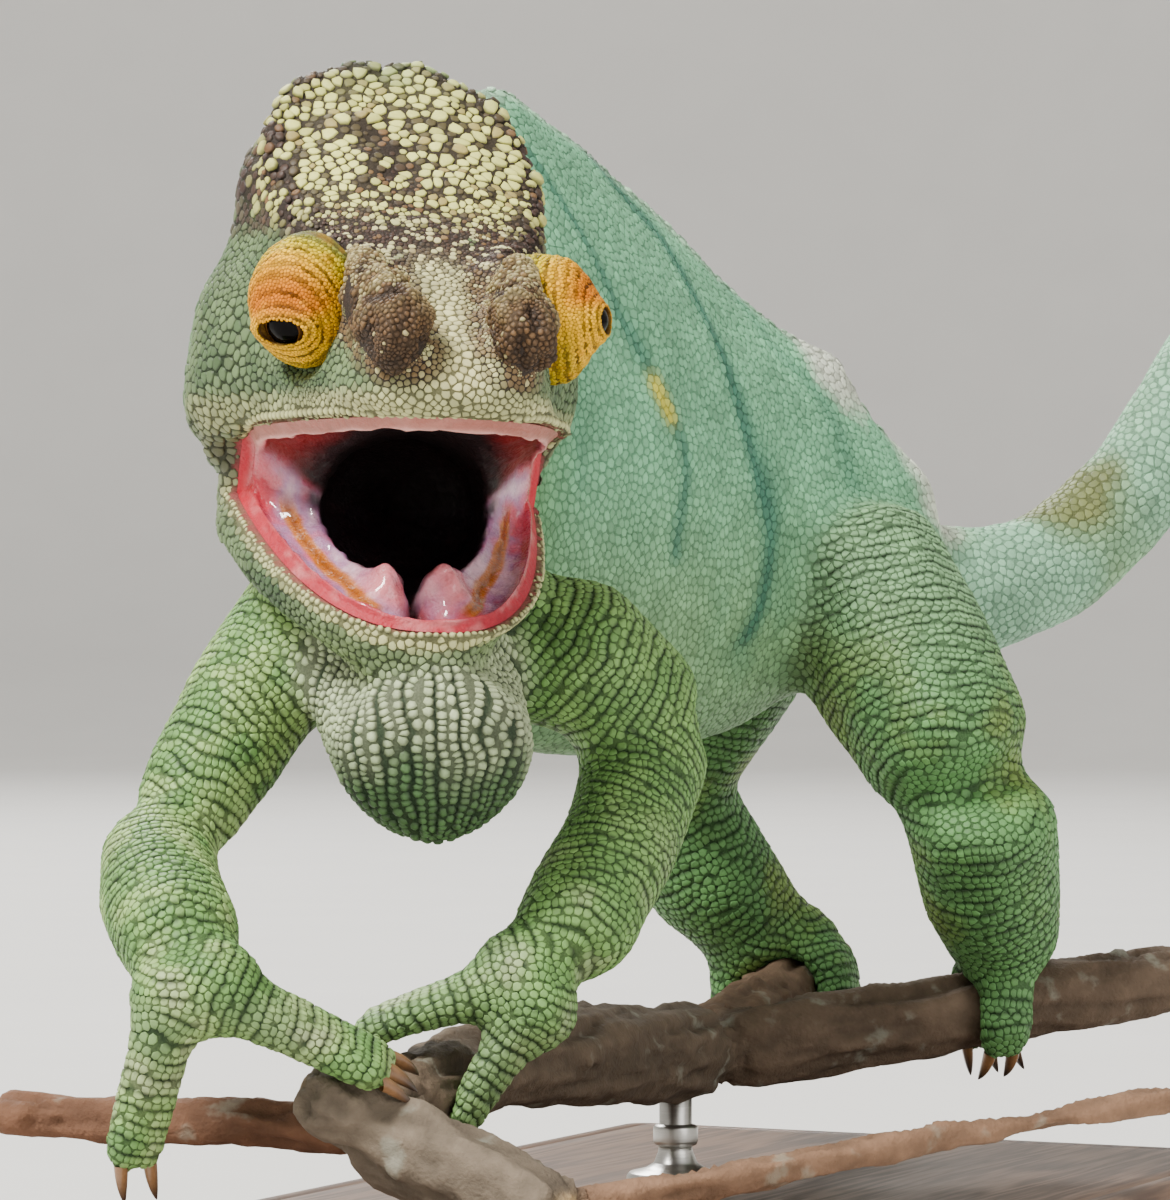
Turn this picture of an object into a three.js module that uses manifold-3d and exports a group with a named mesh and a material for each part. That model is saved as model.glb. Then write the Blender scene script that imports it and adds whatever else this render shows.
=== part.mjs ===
// A life-size adult male Parson's chameleon, gaping, on a cut branch held by a plain display stand.
// Millimetres, +Z up, the trunk along Y with the head towards -Y, +X to the animal's left.
// The origin is the middle of the stand base's underside.

import * as THREE from 'three';
import { RoundedBoxGeometry } from 'three/addons/geometries/RoundedBoxGeometry.js';
import { mergeVertices } from 'three/addons/utils/BufferGeometryUtils.js';
import Module from 'manifold-3d';

const wasm = await Module();
wasm.setup();
const { Manifold } = wasm;

// ---- driving dimensions ------------------------------------------------------------------

const GAP = 0.3; // left between two nodes that meet
const STANCE = { turn: 26, across: 31, back: -90, up: 118 }; // turn of the pose's axes from the trunk's
const HEAD = { across: -25, back: 0, up: 30, yaw: 13.4, roll: 2.5 }; // origin: lip line, between the eyes
const JAW = { back: 48, up: -9, open: 28, length: 60 };
const EYE = { side: 20.5, back: 1, up: 16, turret: 8.8, tall: 10.4, ball: 5.6, slit: 2.6 };
const TAIL = { base: 14, tip: 2, turns: 1.5, coilStart: 34, coilEnd: 8.5 };
const BASE = { length: 290, width: 150, height: 10, corner: 4.5 };
const ROD = { radius: 3, foot: 9, footHeight: 4 };
const TOE = { radius: 3.7, claw: 6, clawRadius: 1.15 };

// ---- frames ------------------------------------------------------------------------------
// Each frame has x to the animal's left (across), y towards its back and z up.

const { degToRad } = THREE.MathUtils;
const world = new THREE.Object3D();

const stance = new THREE.Object3D();
stance.position.set(STANCE.across, STANCE.back, STANCE.up);
stance.rotation.z = degToRad(STANCE.turn);
world.add(stance);

const headFrame = new THREE.Object3D();
headFrame.position.set(HEAD.across, HEAD.back, HEAD.up);
headFrame.rotation.set(0, degToRad(HEAD.roll), degToRad(HEAD.yaw), 'ZYX');
stance.add(headFrame);

const jawFrame = new THREE.Object3D();
jawFrame.position.set(0, JAW.back, JAW.up);
jawFrame.rotation.x = degToRad(JAW.open);
headFrame.add(jawFrame);

world.updateMatrixWorld(true);

// ---- solids ------------------------------------------------------------------------------

const UP = new THREE.Vector3(0, 0, 1);

/** A closed three.js geometry as a solid for joining and cutting. */
function solid(geometry) {
  geometry.deleteAttribute('normal');
  geometry.deleteAttribute('uv');
  const merged = mergeVertices(geometry, 1e-4);
  const mesh = new wasm.Mesh({
    numProp: 3,
    vertProperties: new Float32Array(merged.attributes.position.array),
    triVerts: new Uint32Array(merged.index.array),
  });
  return new Manifold(mesh);
}

/** The geometry in world millimetres of a shape drawn in one of the frames. */
function placed(geometry, frame = world) {
  return geometry.applyMatrix4(frame.matrixWorld);
}

/** Several solids joined. */
function join(...solids) {
  return solids.reduce((sum, next) => sum.add(next));
}

/** The largest separate body of a solid. */
function largest(shape) {
  const bodies = shape.decompose();
  return bodies.reduce((best, body) => (body.volume() > best.volume() ? body : best));
}

/** A station of a loft: its centre, its width at the foot, middle and top, and its heights. */
function ring(x, y, z, widths, over, under = over, power = 2) {
  const [foot, middle, top] = Array.isArray(widths) ? widths : [widths, widths, widths];
  return { centre: new THREE.Vector3(x, y, z), foot, middle, top, over, under, power };
}

/** A station that hangs between a low and a high level. */
function band(x, y, low, high, widths, power = 2) {
  const half = (high - low) / 2;
  return ring(x, y, low + half, widths, half, half, power);
}

/** Round stations from [x, y, z, radius] rows. */
function rounds(rows) {
  return rows.map(([x, y, z, radius]) => ring(x, y, z, radius, radius));
}

/** A smooth curve through one to three numbers of every station, read at the same places as the path. */
function track(stations, read) {
  const points = stations.map((station) => new THREE.Vector3(...read(station)));
  return new THREE.CatmullRomCurve3(points, false, 'catmullrom', 0.5);
}

/** The signed power that squares a circle's sine or cosine. */
function squared(value, power) {
  return Math.sign(value) * Math.abs(value) ** (2 / power);
}

/**
 * A closed body swept through stations, a sphere whose rings are laid along the path.
 * plumb keeps every section in line with the frame's up, ends are the rounded share at each end,
 * and grow makes it larger all round, for the room a neighbour leaves it.
 */
function loft(stations, options = {}) {
  const { rings = 12, sides = 12, frame = stance, up = UP, grow = 0 } = options;
  const { plumb = false, ends = [0.12, 0.12] } = options;
  const centres = stations.map((station) => station.centre);
  const path = new THREE.CatmullRomCurve3(centres, false, 'centripetal');
  const widths = track(stations, (station) => [station.foot, station.middle, station.top]);
  const heights = track(stations, (station) => [station.over, station.under, station.power]);
  const geometry = new THREE.SphereGeometry(1, sides, rings);
  const position = geometry.attributes.position;
  const capRings = 2;
  for (let row = 0; row <= rings; row += 1) {
    const fromEnd = Math.min(row, rings - row);
    const first = row < rings / 2;
    const share = first ? ends[0] : ends[1];
    const angle = (Math.min(fromEnd, capRings) / capRings) * (Math.PI / 2);
    const capShare = share * (1 - Math.cos(angle));
    const middle = (row - capRings) / (rings - 2 * capRings);
    let along = ends[0] + middle * (1 - ends[0] - ends[1]);
    if (fromEnd < capRings) along = first ? capShare : 1 - capShare;
    const fill = Math.sin(angle);
    const centre = path.getPoint(along);
    const tangent = path.getTangent(along);
    const over = up.clone();
    if (plumb) tangent.addScaledVector(over, -tangent.dot(over)).normalize();
    else over.addScaledVector(tangent, -over.dot(tangent)).normalize();
    const side = over.clone().cross(tangent);
    centre.addScaledVector(tangent, (first ? -1 : 1) * grow * Math.cos(angle));
    const wide = widths.getPoint(along);
    const high = heights.getPoint(along);
    for (let column = 0; column <= sides; column += 1) {
      const turn = (column / sides) * 2 * Math.PI;
      const across = squared(-Math.cos(turn), high.z);
      const rise = squared(Math.sin(turn), high.z);
      const bulge = (wide.x + wide.z) / 2 - wide.y;
      const width = wide.y + ((wide.z - wide.x) / 2) * rise + bulge * rise * rise;
      const height = rise > 0 ? high.x : high.y;
      const point = centre.clone();
      point.addScaledVector(side, across * (width + grow) * fill);
      point.addScaledVector(over, rise * (height + grow) * fill);
      position.setXYZ(row * (sides + 1) + column, point.x, point.y, point.z);
    }
  }
  return solid(placed(geometry, frame));
}

/** The turn that brings a shape drawn along +Y into line with a direction. */
function turnedTo(direction) {
  return new THREE.Quaternion().setFromUnitVectors(new THREE.Vector3(0, 1, 0), direction.clone().normalize());
}

/** A thin disc across a path, to part a long body; it faces along the given direction. */
function slab(centre, direction, radius, frame = stance) {
  const geometry = new THREE.CylinderGeometry(radius, radius, GAP, 10);
  geometry.applyQuaternion(turnedTo(direction));
  geometry.translate(centre.x, centre.y, centre.z);
  return solid(placed(geometry, frame));
}

/** Parts a body with slabs and returns its lengths in order of their distance along a list of marks. */
function lengths(body, slabs, marks, frame = stance) {
  const pieces = body.subtract(join(...slabs)).decompose();
  return marks.map((mark) => {
    const probe = solid(placed(new THREE.SphereGeometry(0.8, 6, 4).translate(...mark), frame));
    return pieces.find((piece) => piece.intersect(probe).volume() > 0);
  });
}

// ---- the model ---------------------------------------------------------------------------

const group = new THREE.Group();
const claimed = []; // what is already taken, each grown by the gap

/** Adds a node: its solid less everything claimed before it, and claims its own grown shape. */
function addNode(name, colour, roughness, shape, grown, metalness = 0) {
  let body = shape;
  for (const taken of claimed) body = body.subtract(taken);
  body = largest(body);
  const { vertProperties, triVerts } = body.getMesh();
  const geometry = new THREE.BufferGeometry();
  geometry.setAttribute('position', new THREE.BufferAttribute(new Float32Array(vertProperties), 3));
  geometry.setIndex(new THREE.BufferAttribute(new Uint32Array(triVerts), 1));
  const material = new THREE.MeshStandardMaterial({ color: colour, roughness, metalness });
  const mesh = new THREE.Mesh(geometry, material);
  mesh.name = name;
  group.add(mesh);
  if (grown) claimed.push(grown);
}

/** Adds a node from a maker that takes the amount to grow by. */
function addMade(name, colour, roughness, make) {
  addNode(name, colour, roughness, make(0), make(GAP));
}

const GREEN = 0x6f9a58;
const DEEP_GREEN = 0x55803f;
const MINT = 0x79b494;
const CREAM = 0xcfcfa4;
const TURRET_YELLOW = 0xf2b70c;
const LINING_PINK = 0xc06a78;
const BARK = 0x6a5a50;
const BASE_WOOD = 0x4a3527;

// ---- the perch: a cut fork of branch with a stub and two twigs ------------------------------

const FORK = [22, 138, -84];
const KNOT = [-31, -2, -84];

/** The main stem, from the knot under the hands back to the fork. */
function perchStem(grow) {
  const rows = [[...KNOT, 8.6], [-25, 18, -78, 7.4], [-9, 58, -79, 8.4], [9, 98, -81, 9], [...FORK, 9.4]];
  return loft(rounds(rows), { rings: 7, sides: 8, ends: [0.1, 0.06], grow });
}

/** The arm of the fork that the left foot grips. */
function perchArmLeft(grow) {
  const rows = [[24, 136, -84, 8.2], [50, 146, -80, 7.6], [78, 155, -77, 7.2], [116, 167, -72, 6.6]];
  return loft(rounds(rows), { rings: 5, sides: 8, ends: [0.06, 0.02], grow });
}

/** The arm of the fork that the right foot grips. */
function perchArmRight(grow) {
  const rows = [[23, 140, -84, 8], [30, 167, -80, 7.4], [39.6, 195, -77, 7], [50, 226, -73, 6.6]];
  return loft(rounds(rows), { rings: 5, sides: 8, ends: [0.06, 0.02], grow });
}

/** The thick stub in front of the hands, with the scar of a lost side branch on its left. */
function perchStub(grow) {
  const stub = rounds([[-33, -4, -84, 8.4], [-24, -11, -89, 8.6], [-12, -18, -94, 7.8], [-3, -23, -97, 7]]);
  const scar = rounds([[-33, -6, -82, 6.5], [-40, -10, -79.5, 6.2], [-44, -12, -78.5, 5.8]]);
  const body = loft(stub, { rings: 5, sides: 8, ends: [0.12, 0.03], grow });
  return body.add(loft(scar, { rings: 5, sides: 8, ends: [0.2, 0.12], grow }));
}

/** A side twig that leaves the knot. */
function twig(rows) {
  return (grow) => loft(rounds(rows), { rings: 5, sides: 6, ends: [0.06, 0.02], grow });
}

const twigLeft = twig([[-34, 6, -85, 5], [-56, 12, -85.5, 4.2], [-76, 15, -85, 3.9], [-97, 20, -84, 3.6]]);
const twigRight = twig([[-7, -20, -95, 3.4], [22, -4, -94.5, 2.6], [60, 18, -90, 2.8], [102, 44, -83, 2.4]]);

addMade('perch_stem', BARK, 0.85, perchStem);
addMade('perch_arm_left', BARK, 0.85, perchArmLeft);
addMade('perch_arm_right', BARK, 0.85, perchArmRight);
addMade('perch_stub', BARK, 0.85, perchStub);
addMade('perch_twig_left', BARK, 0.85, twigLeft);
addMade('perch_twig_right', BARK, 0.85, twigRight);

// ---- the stand -----------------------------------------------------------------------------

/** The flat base, its upper edge rounded and its underside flat. */
function standBase() {
  const height = BASE.height * 2;
  const block = new RoundedBoxGeometry(BASE.width, BASE.length, height, 1, BASE.corner);
  const under = new THREE.BoxGeometry(BASE.width * 2, BASE.length * 2, height);
  return solid(block).subtract(solid(under.translate(0, 0, -height / 2)));
}

/** A short turned rod on a round foot, from the base up into the perch's underside. */
function standRod(across, back, top) {
  const at = new THREE.Vector3(across, back, 0).applyMatrix4(stance.matrixWorld);
  const from = BASE.height + GAP;
  const profile = [
    [0, from],
    [ROD.foot, from],
    [ROD.foot * 0.94, from + ROD.footHeight * 0.5],
    [ROD.radius * 1.5, from + ROD.footHeight],
    [ROD.radius, from + ROD.footHeight * 1.7],
    [ROD.radius, STANCE.up + top],
    [0, STANCE.up + top],
  ].map(([radius, height]) => new THREE.Vector2(radius, height));
  const geometry = new THREE.LatheGeometry(profile, 12).rotateX(Math.PI / 2);
  return solid(geometry.translate(at.x, at.y, 0));
}

addNode('stand_base', BASE_WOOD, 0.45, standBase(), null);
addNode('stand_rod_front', 0x8d8a84, 0.35, standRod(-22, 28, -80), null, 1);
addNode('stand_rod_rear', 0x8d8a84, 0.35, standRod(17, 124, -85), null, 1);

// ---- eyes ------------------------------------------------------------------------------------

/** Where each eye looks, in the head's frame. */
const GAZE = {
  right: new THREE.Vector3(-0.52, -0.62, -0.55).normalize(),
  left: new THREE.Vector3(0.9, -0.42, 0.02).normalize(),
};

/** The middle of one eye's turret. */
function eyeMiddle(side) {
  return new THREE.Vector3((side === 'left' ? 1 : -1) * EYE.side, EYE.back, EYE.up);
}

/** A ball in one of the frames. */
function ball(centre, radius, frame, detail = 8) {
  const sphere = new THREE.SphereGeometry(radius, detail, Math.round(detail * 0.7));
  return solid(placed(sphere.translate(...centre.toArray()), frame));
}

/** The cone-shaped lid of one eye: a ball in the socket drawn out along the gaze. */
function turretOuter(side, grow) {
  const rows = [[-0.9, 0.95, 0.9], [0, 1, 1], [0.5, 0.86, 0.82], [0.95, 0.5, 0.42]];
  const cone = rows.map(([along, wide, tall]) => {
    const centre = eyeMiddle(side).addScaledVector(GAZE[side], along * EYE.turret);
    return ring(...centre.toArray(), wide * EYE.turret, tall * EYE.tall);
  });
  return loft(cone, { rings: 7, sides: 10, frame: headFrame, ends: [0.2, 0.1], grow });
}

/** The eyeball, just behind the opening of the lid. */
function eyeball(side, grow) {
  const centre = eyeMiddle(side).addScaledVector(GAZE[side], EYE.turret * 0.95 - EYE.ball * 0.86);
  return ball(centre, EYE.ball + grow, headFrame);
}

/** The round opening of the lid. */
function eyeOpening(side) {
  const stations = [[0.3, 1], [1.6, 1.5]].map(([along, share]) => {
    const centre = eyeMiddle(side).addScaledVector(GAZE[side], EYE.turret * along);
    return ring(...centre.toArray(), share * EYE.slit, share * EYE.slit);
  });
  return loft(stations, { rings: 5, sides: 6, frame: headFrame, ends: [0.1, 0.1] });
}

for (const side of ['right', 'left']) {
  const turret = turretOuter(side, 0).subtract(eyeball(side, GAP)).subtract(eyeOpening(side));
  addNode(`eyeball_${side}`, 0x1a1410, 0.1, eyeball(side, 0), null);
  addNode(`eye_turret_${side}`, TURRET_YELLOW, 0.55, turret, turretOuter(side, GAP));
}

// ---- horns -----------------------------------------------------------------------------------

/** One blunt warty horn, from the front of the eye to past the snout. */
function horn(sign) {
  const stations = [
    ring(sign * 13.6, 5, 23, 3.8, 4.6),
    ring(sign * 12.2, -6, 18.6, 5.2, 6.6),
    ring(sign * 10.6, -18, 13.2, 5.9, 7.6),
    ring(sign * 9.8, -29, 9.8, 5.5, 6.9),
  ];
  return (grow) => loft(stations, { rings: 6, sides: 8, frame: headFrame, ends: [0.16, 0.14], grow });
}

addMade('horn_right', 0x6b5745, 0.75, horn(-1));
addMade('horn_left', 0x6b5745, 0.75, horn(1));

// ---- mouth -------------------------------------------------------------------------------------

/** The wet floor of the mouth, filling the lower jaw inside its rim. */
function floorTissue(grow) {
  const stations = [
    band(0, 4, -9, 0.6, [14, 22, 24.5], 2.6),
    band(0, -14, -9, 0.6, [14, 22.5, 25.5], 2.6),
    band(0, -32, -9, 0.6, [12, 18.5, 21.5], 2.6),
    band(0, -46, -8.5, 0.6, [8, 12.5, 15], 2.6),
    band(0, -54, -7.5, 0.6, [4, 6.5, 8], 2.6),
  ];
  return loft(stations, { rings: 6, sides: 10, frame: jawFrame, plumb: true, ends: [0.05, 0.1], grow });
}

/** The hollow above the floor of the mouth, from the lobes at the chin back to the throat. */
function floorHollow() {
  const stations = [
    band(0, 12, -5.5, 8, [9, 17, 17], 2.4),
    band(0, -12, -6, 12, [8, 17, 20], 2.4),
    band(0, -32, -5, 12, [5, 13, 17], 2.4),
    band(0, -49, -3.2, 8, [3, 7, 11], 2.4),
  ];
  return loft(stations, { rings: 6, sides: 8, frame: jawFrame, plumb: true, ends: [0.05, 0.08] });
}

/** The lining of the palate. */
function palateTissue(grow) {
  const stations = [
    band(0, -19, -2.4, 1.6, 9, 2.6),
    band(0, -8, -2.6, 2.4, 15.5, 2.6),
    band(0, 8, -3, 3, 21.5, 2.6),
    band(0, 24, -3.4, 3, 25, 2.6),
    band(0, 38, -4, 3, 24, 2.6),
  ];
  return loft(stations, { rings: 6, sides: 10, frame: headFrame, plumb: true, ends: [0.1, 0.06], grow });
}

/** The shallow vault under the palate. */
function palateHollow() {
  const stations = [
    band(0, -15, -12, -1.2, 6),
    band(0, 8, -14, -0.4, 17),
    band(0, 30, -16, -0.6, 20),
    band(0, 46, -20, -2, 15),
  ];
  return loft(stations, { rings: 5, sides: 8, frame: headFrame, plumb: true, ends: [0.1, 0.08] });
}

/** The throat, a blind passage back from the mouth. */
function throat() {
  const stations = [band(0, 22, -24, -3, 15), band(0, 40, -28, -2, 14.5), band(0, 58, -30, -6, 12)];
  return loft(stations, { rings: 5, sides: 8, frame: headFrame, plumb: true, ends: [0.08, 0.15] });
}

const mouthSpace = join(floorHollow(), palateHollow(), throat());
addNode('mouth_lining_upper', LINING_PINK, 0.3, palateTissue(0).subtract(mouthSpace), palateTissue(GAP));
addNode('mouth_lining_lower', LINING_PINK, 0.3, floorTissue(0).subtract(mouthSpace), floorTissue(GAP));
claimed.push(mouthSpace);

// ---- head --------------------------------------------------------------------------------------

/** The skull with its snout, brows, helmet and cheeks. */
function skull(grow) {
  const stations = [
    band(0, -27, -1.6, 7, [11.5, 10, 7], 2.6),
    band(0, -18, -2, 12.5, [17.5, 15.5, 10], 2.8),
    band(0, -8, -2, 19.5, [22, 17, 13], 2.8),
    band(0, 3, -2.2, 27, [26.5, 18.5, 17.5], 3),
    band(0, 14, -2.6, 36, [30.5, 23, 23], 3.2),
    band(0, 26, -4.5, 45.5, [35.5, 28, 24.5], 3.2),
    band(0, 37, -11, 54, [36.8, 31, 24.5], 3.2),
    band(0, 46, -18, 60, [34.5, 30, 19], 3),
    band(0, 54, -20, 58, [25, 23, 11], 2.6),
  ];
  return loft(stations, { rings: 13, sides: 14, frame: headFrame, plumb: true, ends: [0.05, 0.07], grow });
}

/** The helmet's share of the skull, behind and above the brows. */
function helmetCut() {
  const direction = new THREE.Vector3(0, 0.32, 1);
  return slab(new THREE.Vector3(0, 34, 33), direction, 46, headFrame);
}

const skullShape = largest(claimed.reduce((body, taken) => body.subtract(taken), skull(0)));
const [headShape, casqueShape] = lengths(skullShape, [helmetCut()], [[-24, 20, 12], [0, 38, 48]], headFrame);
addNode('head', CREAM, 0.6, headShape, null);
addNode('casque', CREAM, 0.6, casqueShape, null);
claimed.push(skull(GAP));

/** The lower jaw, a deep trough with its lip. */
function lowerJaw(grow) {
  const stations = [
    band(0, 5, -13, 2, [18, 24.5, 26], 2.6),
    band(0, -10, -12.5, 0, [19, 27.5, 30], 2.8),
    band(0, -26, -12, 0, [17, 25, 28], 2.8),
    band(0, -40, -11.5, 0, [13, 20, 22.5], 2.8),
    band(0, -51, -10.5, 0, [9, 13, 15.5], 2.8),
    band(0, -JAW.length, -8.5, 0, [5, 6, 8], 2.6),
  ];
  return loft(stations, { rings: 9, sides: 12, frame: jawFrame, plumb: true, ends: [0.05, 0.08], grow });
}

addMade('lower_jaw', 0xb9c294, 0.6, lowerJaw);

// ---- trunk -------------------------------------------------------------------------------------

const TRUNK_WIDTH = [0.82, 1, 0.42]; // share of the full width at the belly, the flank and the ridge

/** A station of the trunk: where the spine runs, the belly's and the ridge's levels, the half width. */
function rib(across, back, belly, ridge, half) {
  return band(across, back, belly, ridge, TRUNK_WIDTH.map((share) => share * half), 2.2);
}

const RIBS = [
  rib(-35, 43, -16, 50, 20),
  rib(-34, 53, -20, 72, 22),
  rib(-28, 66, -24, 86, 23),
  rib(-17, 82, -27, 91, 23),
  rib(-3, 103, -29, 83, 23.5),
  rib(13, 128, -29, 70.5, 22),
  rib(29, 147, -24, 57, 19.5),
  rib(43, 160, -16, 46.5, 17),
  rib(54, 171, -10, 35, 15.5),
  rib(65, 181, -12, 24, 14),
];

/** Neck, chest, belly and pelvis in one. */
function trunk(grow) {
  return loft(RIBS, { rings: 13, sides: 14, plumb: true, ends: [0.05, 0.06], grow });
}

/** A slab square across the spine, part of the way between two ribs. */
function trunkCut(index, share) {
  const near = RIBS[index].centre;
  const far = RIBS[index + 1].centre;
  const direction = far.clone().sub(near).setZ(0);
  return slab(near.clone().lerp(far, share), direction, 75);
}

const trunkShape = largest(claimed.reduce((body, taken) => body.subtract(taken), trunk(0)));
const trunkPieces = lengths(
  trunkShape,
  [trunkCut(1, 0.9), trunkCut(3, 0.6), trunkCut(5, 0.6)],
  [[-33, 58, 20], [-24, 74, 20], [0, 108, 20], [48, 165, 15]],
);
['neck', 'trunk_front', 'trunk_middle', 'trunk_rear'].forEach((name, index) => {
  addNode(name, MINT, 0.6, trunkPieces[index], null);
});
claimed.push(trunk(GAP));

/** The swollen throat pouch under the chin. */
function pouch(grow) {
  const stations = [
    ring(-22.5, -6, -17, [11, 12, 10], 7, 9),
    ring(-23.5, 3, -24, [14, 16, 14], 13, 15),
    ring(-26, 17, -20, [14, 17.5, 17], 15, 17),
    ring(-30, 32, -8, [16, 20, 20], 16, 16),
  ];
  return loft(stations, { rings: 7, sides: 12, plumb: true, ends: [0.16, 0.1], grow });
}

addMade('gular_pouch', 0x8fa088, 0.65, pouch);

// ---- tail --------------------------------------------------------------------------------------

/** The tail's route: out and up from the pelvis, then rolled up towards its underside. */
function tailRoute() {
  const points = [[58, 174, 6], [70, 184, 2], [83, 191, 2.5], [100, 200, 12], [115, 208, 29]];
  const outward = new THREE.Vector3(0.88, 0.47, 0);
  const start = new THREE.Vector3(123, 212.5, 45);
  const climb = degToRad(66);
  const radial = outward.clone().multiplyScalar(-Math.sin(climb)).addScaledVector(UP, Math.cos(climb));
  const centre = start.clone().addScaledVector(radial, -TAIL.coilStart);
  const steps = 22;
  for (let step = 0; step <= steps; step += 1) {
    const share = step / steps;
    const turned = share * TAIL.turns * 2 * Math.PI;
    const radius = THREE.MathUtils.lerp(TAIL.coilStart, TAIL.coilEnd, share ** 0.9);
    const angle = Math.PI - (Math.PI / 2 - climb) - turned;
    const point = centre.clone();
    point.addScaledVector(outward, radius * Math.cos(angle));
    point.addScaledVector(UP, radius * Math.sin(angle));
    points.push(point.toArray());
  }
  return points;
}

const TAIL_POINTS = tailRoute();

/** Half the tail's height at a share of its length; it is a little taller than wide. */
function tailHalf(share) {
  return THREE.MathUtils.lerp(TAIL.base + 1.4, TAIL.tip, share ** 0.6);
}

/** The whole tail. */
function tail(grow) {
  const across = new THREE.Vector3(-0.47, 0.88, 0);
  const stations = TAIL_POINTS.map(([x, y, z], index) => {
    const half = tailHalf(index / (TAIL_POINTS.length - 1));
    return ring(x, y, z, half, half * 0.84);
  });
  return loft(stations, { rings: 31, sides: 8, up: across, ends: [0.03, 0.03], grow });
}

/** A slab across the tail at one of its stations. */
function tailCut(index) {
  const here = new THREE.Vector3(...TAIL_POINTS[index]);
  const before = new THREE.Vector3(...TAIL_POINTS[index - 1]);
  const after = new THREE.Vector3(...TAIL_POINTS[index + 1]);
  const half = tailHalf(index / (TAIL_POINTS.length - 1));
  return slab(here, after.sub(before), half + 2.5);
}

const TAIL_CUTS = [4, 9, 14, 20];
const TAIL_MARKS = [3, 6, 11, 17, 24];
const tailShape = largest(claimed.reduce((body, taken) => body.subtract(taken), tail(0)));
const tailPieces = lengths(tailShape, TAIL_CUTS.map(tailCut), TAIL_MARKS.map((index) => TAIL_POINTS[index]));
tailPieces.forEach((piece, index) => addNode(`tail_${index + 1}`, MINT, 0.6, piece, null));
claimed.push(tail(GAP));

// ---- limbs -------------------------------------------------------------------------------------

const AXES = [new THREE.Vector3(1, 0, 0), new THREE.Vector3(0, 1, 0), UP];

/** The frame axis that a run from the first to the last row leans towards least. */
function squareAxis(rows) {
  const run = new THREE.Vector3(...rows[rows.length - 1]).sub(new THREE.Vector3(...rows[0]));
  return AXES.reduce((best, axis) => (Math.abs(run.dot(axis)) < Math.abs(run.dot(best)) ? axis : best));
}

/** A limb segment from [x, y, z, radius] rows. */
function segment(rows) {
  return (grow) => loft(rounds(rows), { rings: 6, sides: 8, up: squareAxis(rows), ends: [0.1, 0.12], grow });
}

/** A bundle of toes that run side by side, each with a claw. */
function bundle({ toes, route, spread, palm, rings = 5 }) {
  const radius = TOE.radius;
  const up = new THREE.Vector3(...spread).normalize();
  return (grow) => {
    const [middle, size] = [new THREE.Vector3(...palm), palm[3]];
    const parts = [ball(middle, size + grow, stance, 7)];
    for (let toe = 0; toe < toes; toe += 1) {
      const shift = toe - (toes - 1) / 2;
      const rows = route.map(([x, y, z, share], index) => {
        const apart = shift * (0.55 + 0.45 * (index / (route.length - 1)));
        return [x + spread[0] * apart, y + spread[1] * apart, z + spread[2] * apart, radius * share];
      });
      parts.push(loft(rounds(rows), { rings, sides: 5, up, ends: [0.08, 0.14], grow }));
      const last = new THREE.Vector3(...rows[rows.length - 1]);
      const before = new THREE.Vector3(...rows[rows.length - 2]);
      const heading = last.clone().sub(before).normalize();
      const claw = new THREE.ConeGeometry(TOE.clawRadius + grow, TOE.claw, 4).translate(0, TOE.claw / 2, 0);
      claw.applyQuaternion(turnedTo(heading));
      last.addScaledVector(heading, -radius * 0.4);
      parts.push(solid(placed(claw.translate(last.x, last.y, last.z), stance)));
    }
    return join(...parts);
  };
}

/** A point or row reflected to the other side of the pelvis. */
function mirrored(row) {
  const [x, y, ...rest] = row;
  const left = new THREE.Vector2(0.69, -0.72).normalize();
  const offset = new THREE.Vector2(x - 45, y - 162).dot(left) * 2;
  return [x - offset * left.x, y - offset * left.y, ...rest];
}

/** A direction reflected to the other side of the pelvis. */
function mirroredDirection([x, y, z]) {
  const [fromX, fromY] = mirrored([0, 0]);
  const [toX, toY] = mirrored([x, y]);
  return [toX - fromX, toY - fromY, z];
}

const ARM_RIGHT = {
  upper: [
    [-38, 46, 2, 16],
    [-46.5, 38, -3, 14.4],
    [-54.5, 31, -16, 11.8],
    [-62.5, 24, -30, 9.8],
    [-68.5, 19, -40, 9.6],
  ],
  fore: [[-69, 20, -39, 9.4], [-69, 9, -45, 10.6], [-66, -4, -50.5, 10.8], [-61.5, -16, -57, 10]],
};
const ARM_LEFT = {
  upper: [[-19, 46, -8, 14.5], [-6, 38, -7, 13.6], [5, 42, -12, 13.4], [11, 50, -22, 12.2]],
  fore: [[11.5, 50, -22, 11.6], [9, 37, -34, 10.4], [2.5, 22, -47, 10.6], [-5, 12, -58.5, 10.6]],
};
const LEG = {
  thigh: [[46, 153, 10, 20], [54, 147, -2, 19], [63, 137, -19, 18], [72, 128, -35, 15.5]],
  shank: [[72.5, 128, -34, 15], [74, 136, -48, 14.6], [79, 147, -61, 12.2], [80, 152, -68, 10]],
};

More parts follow.
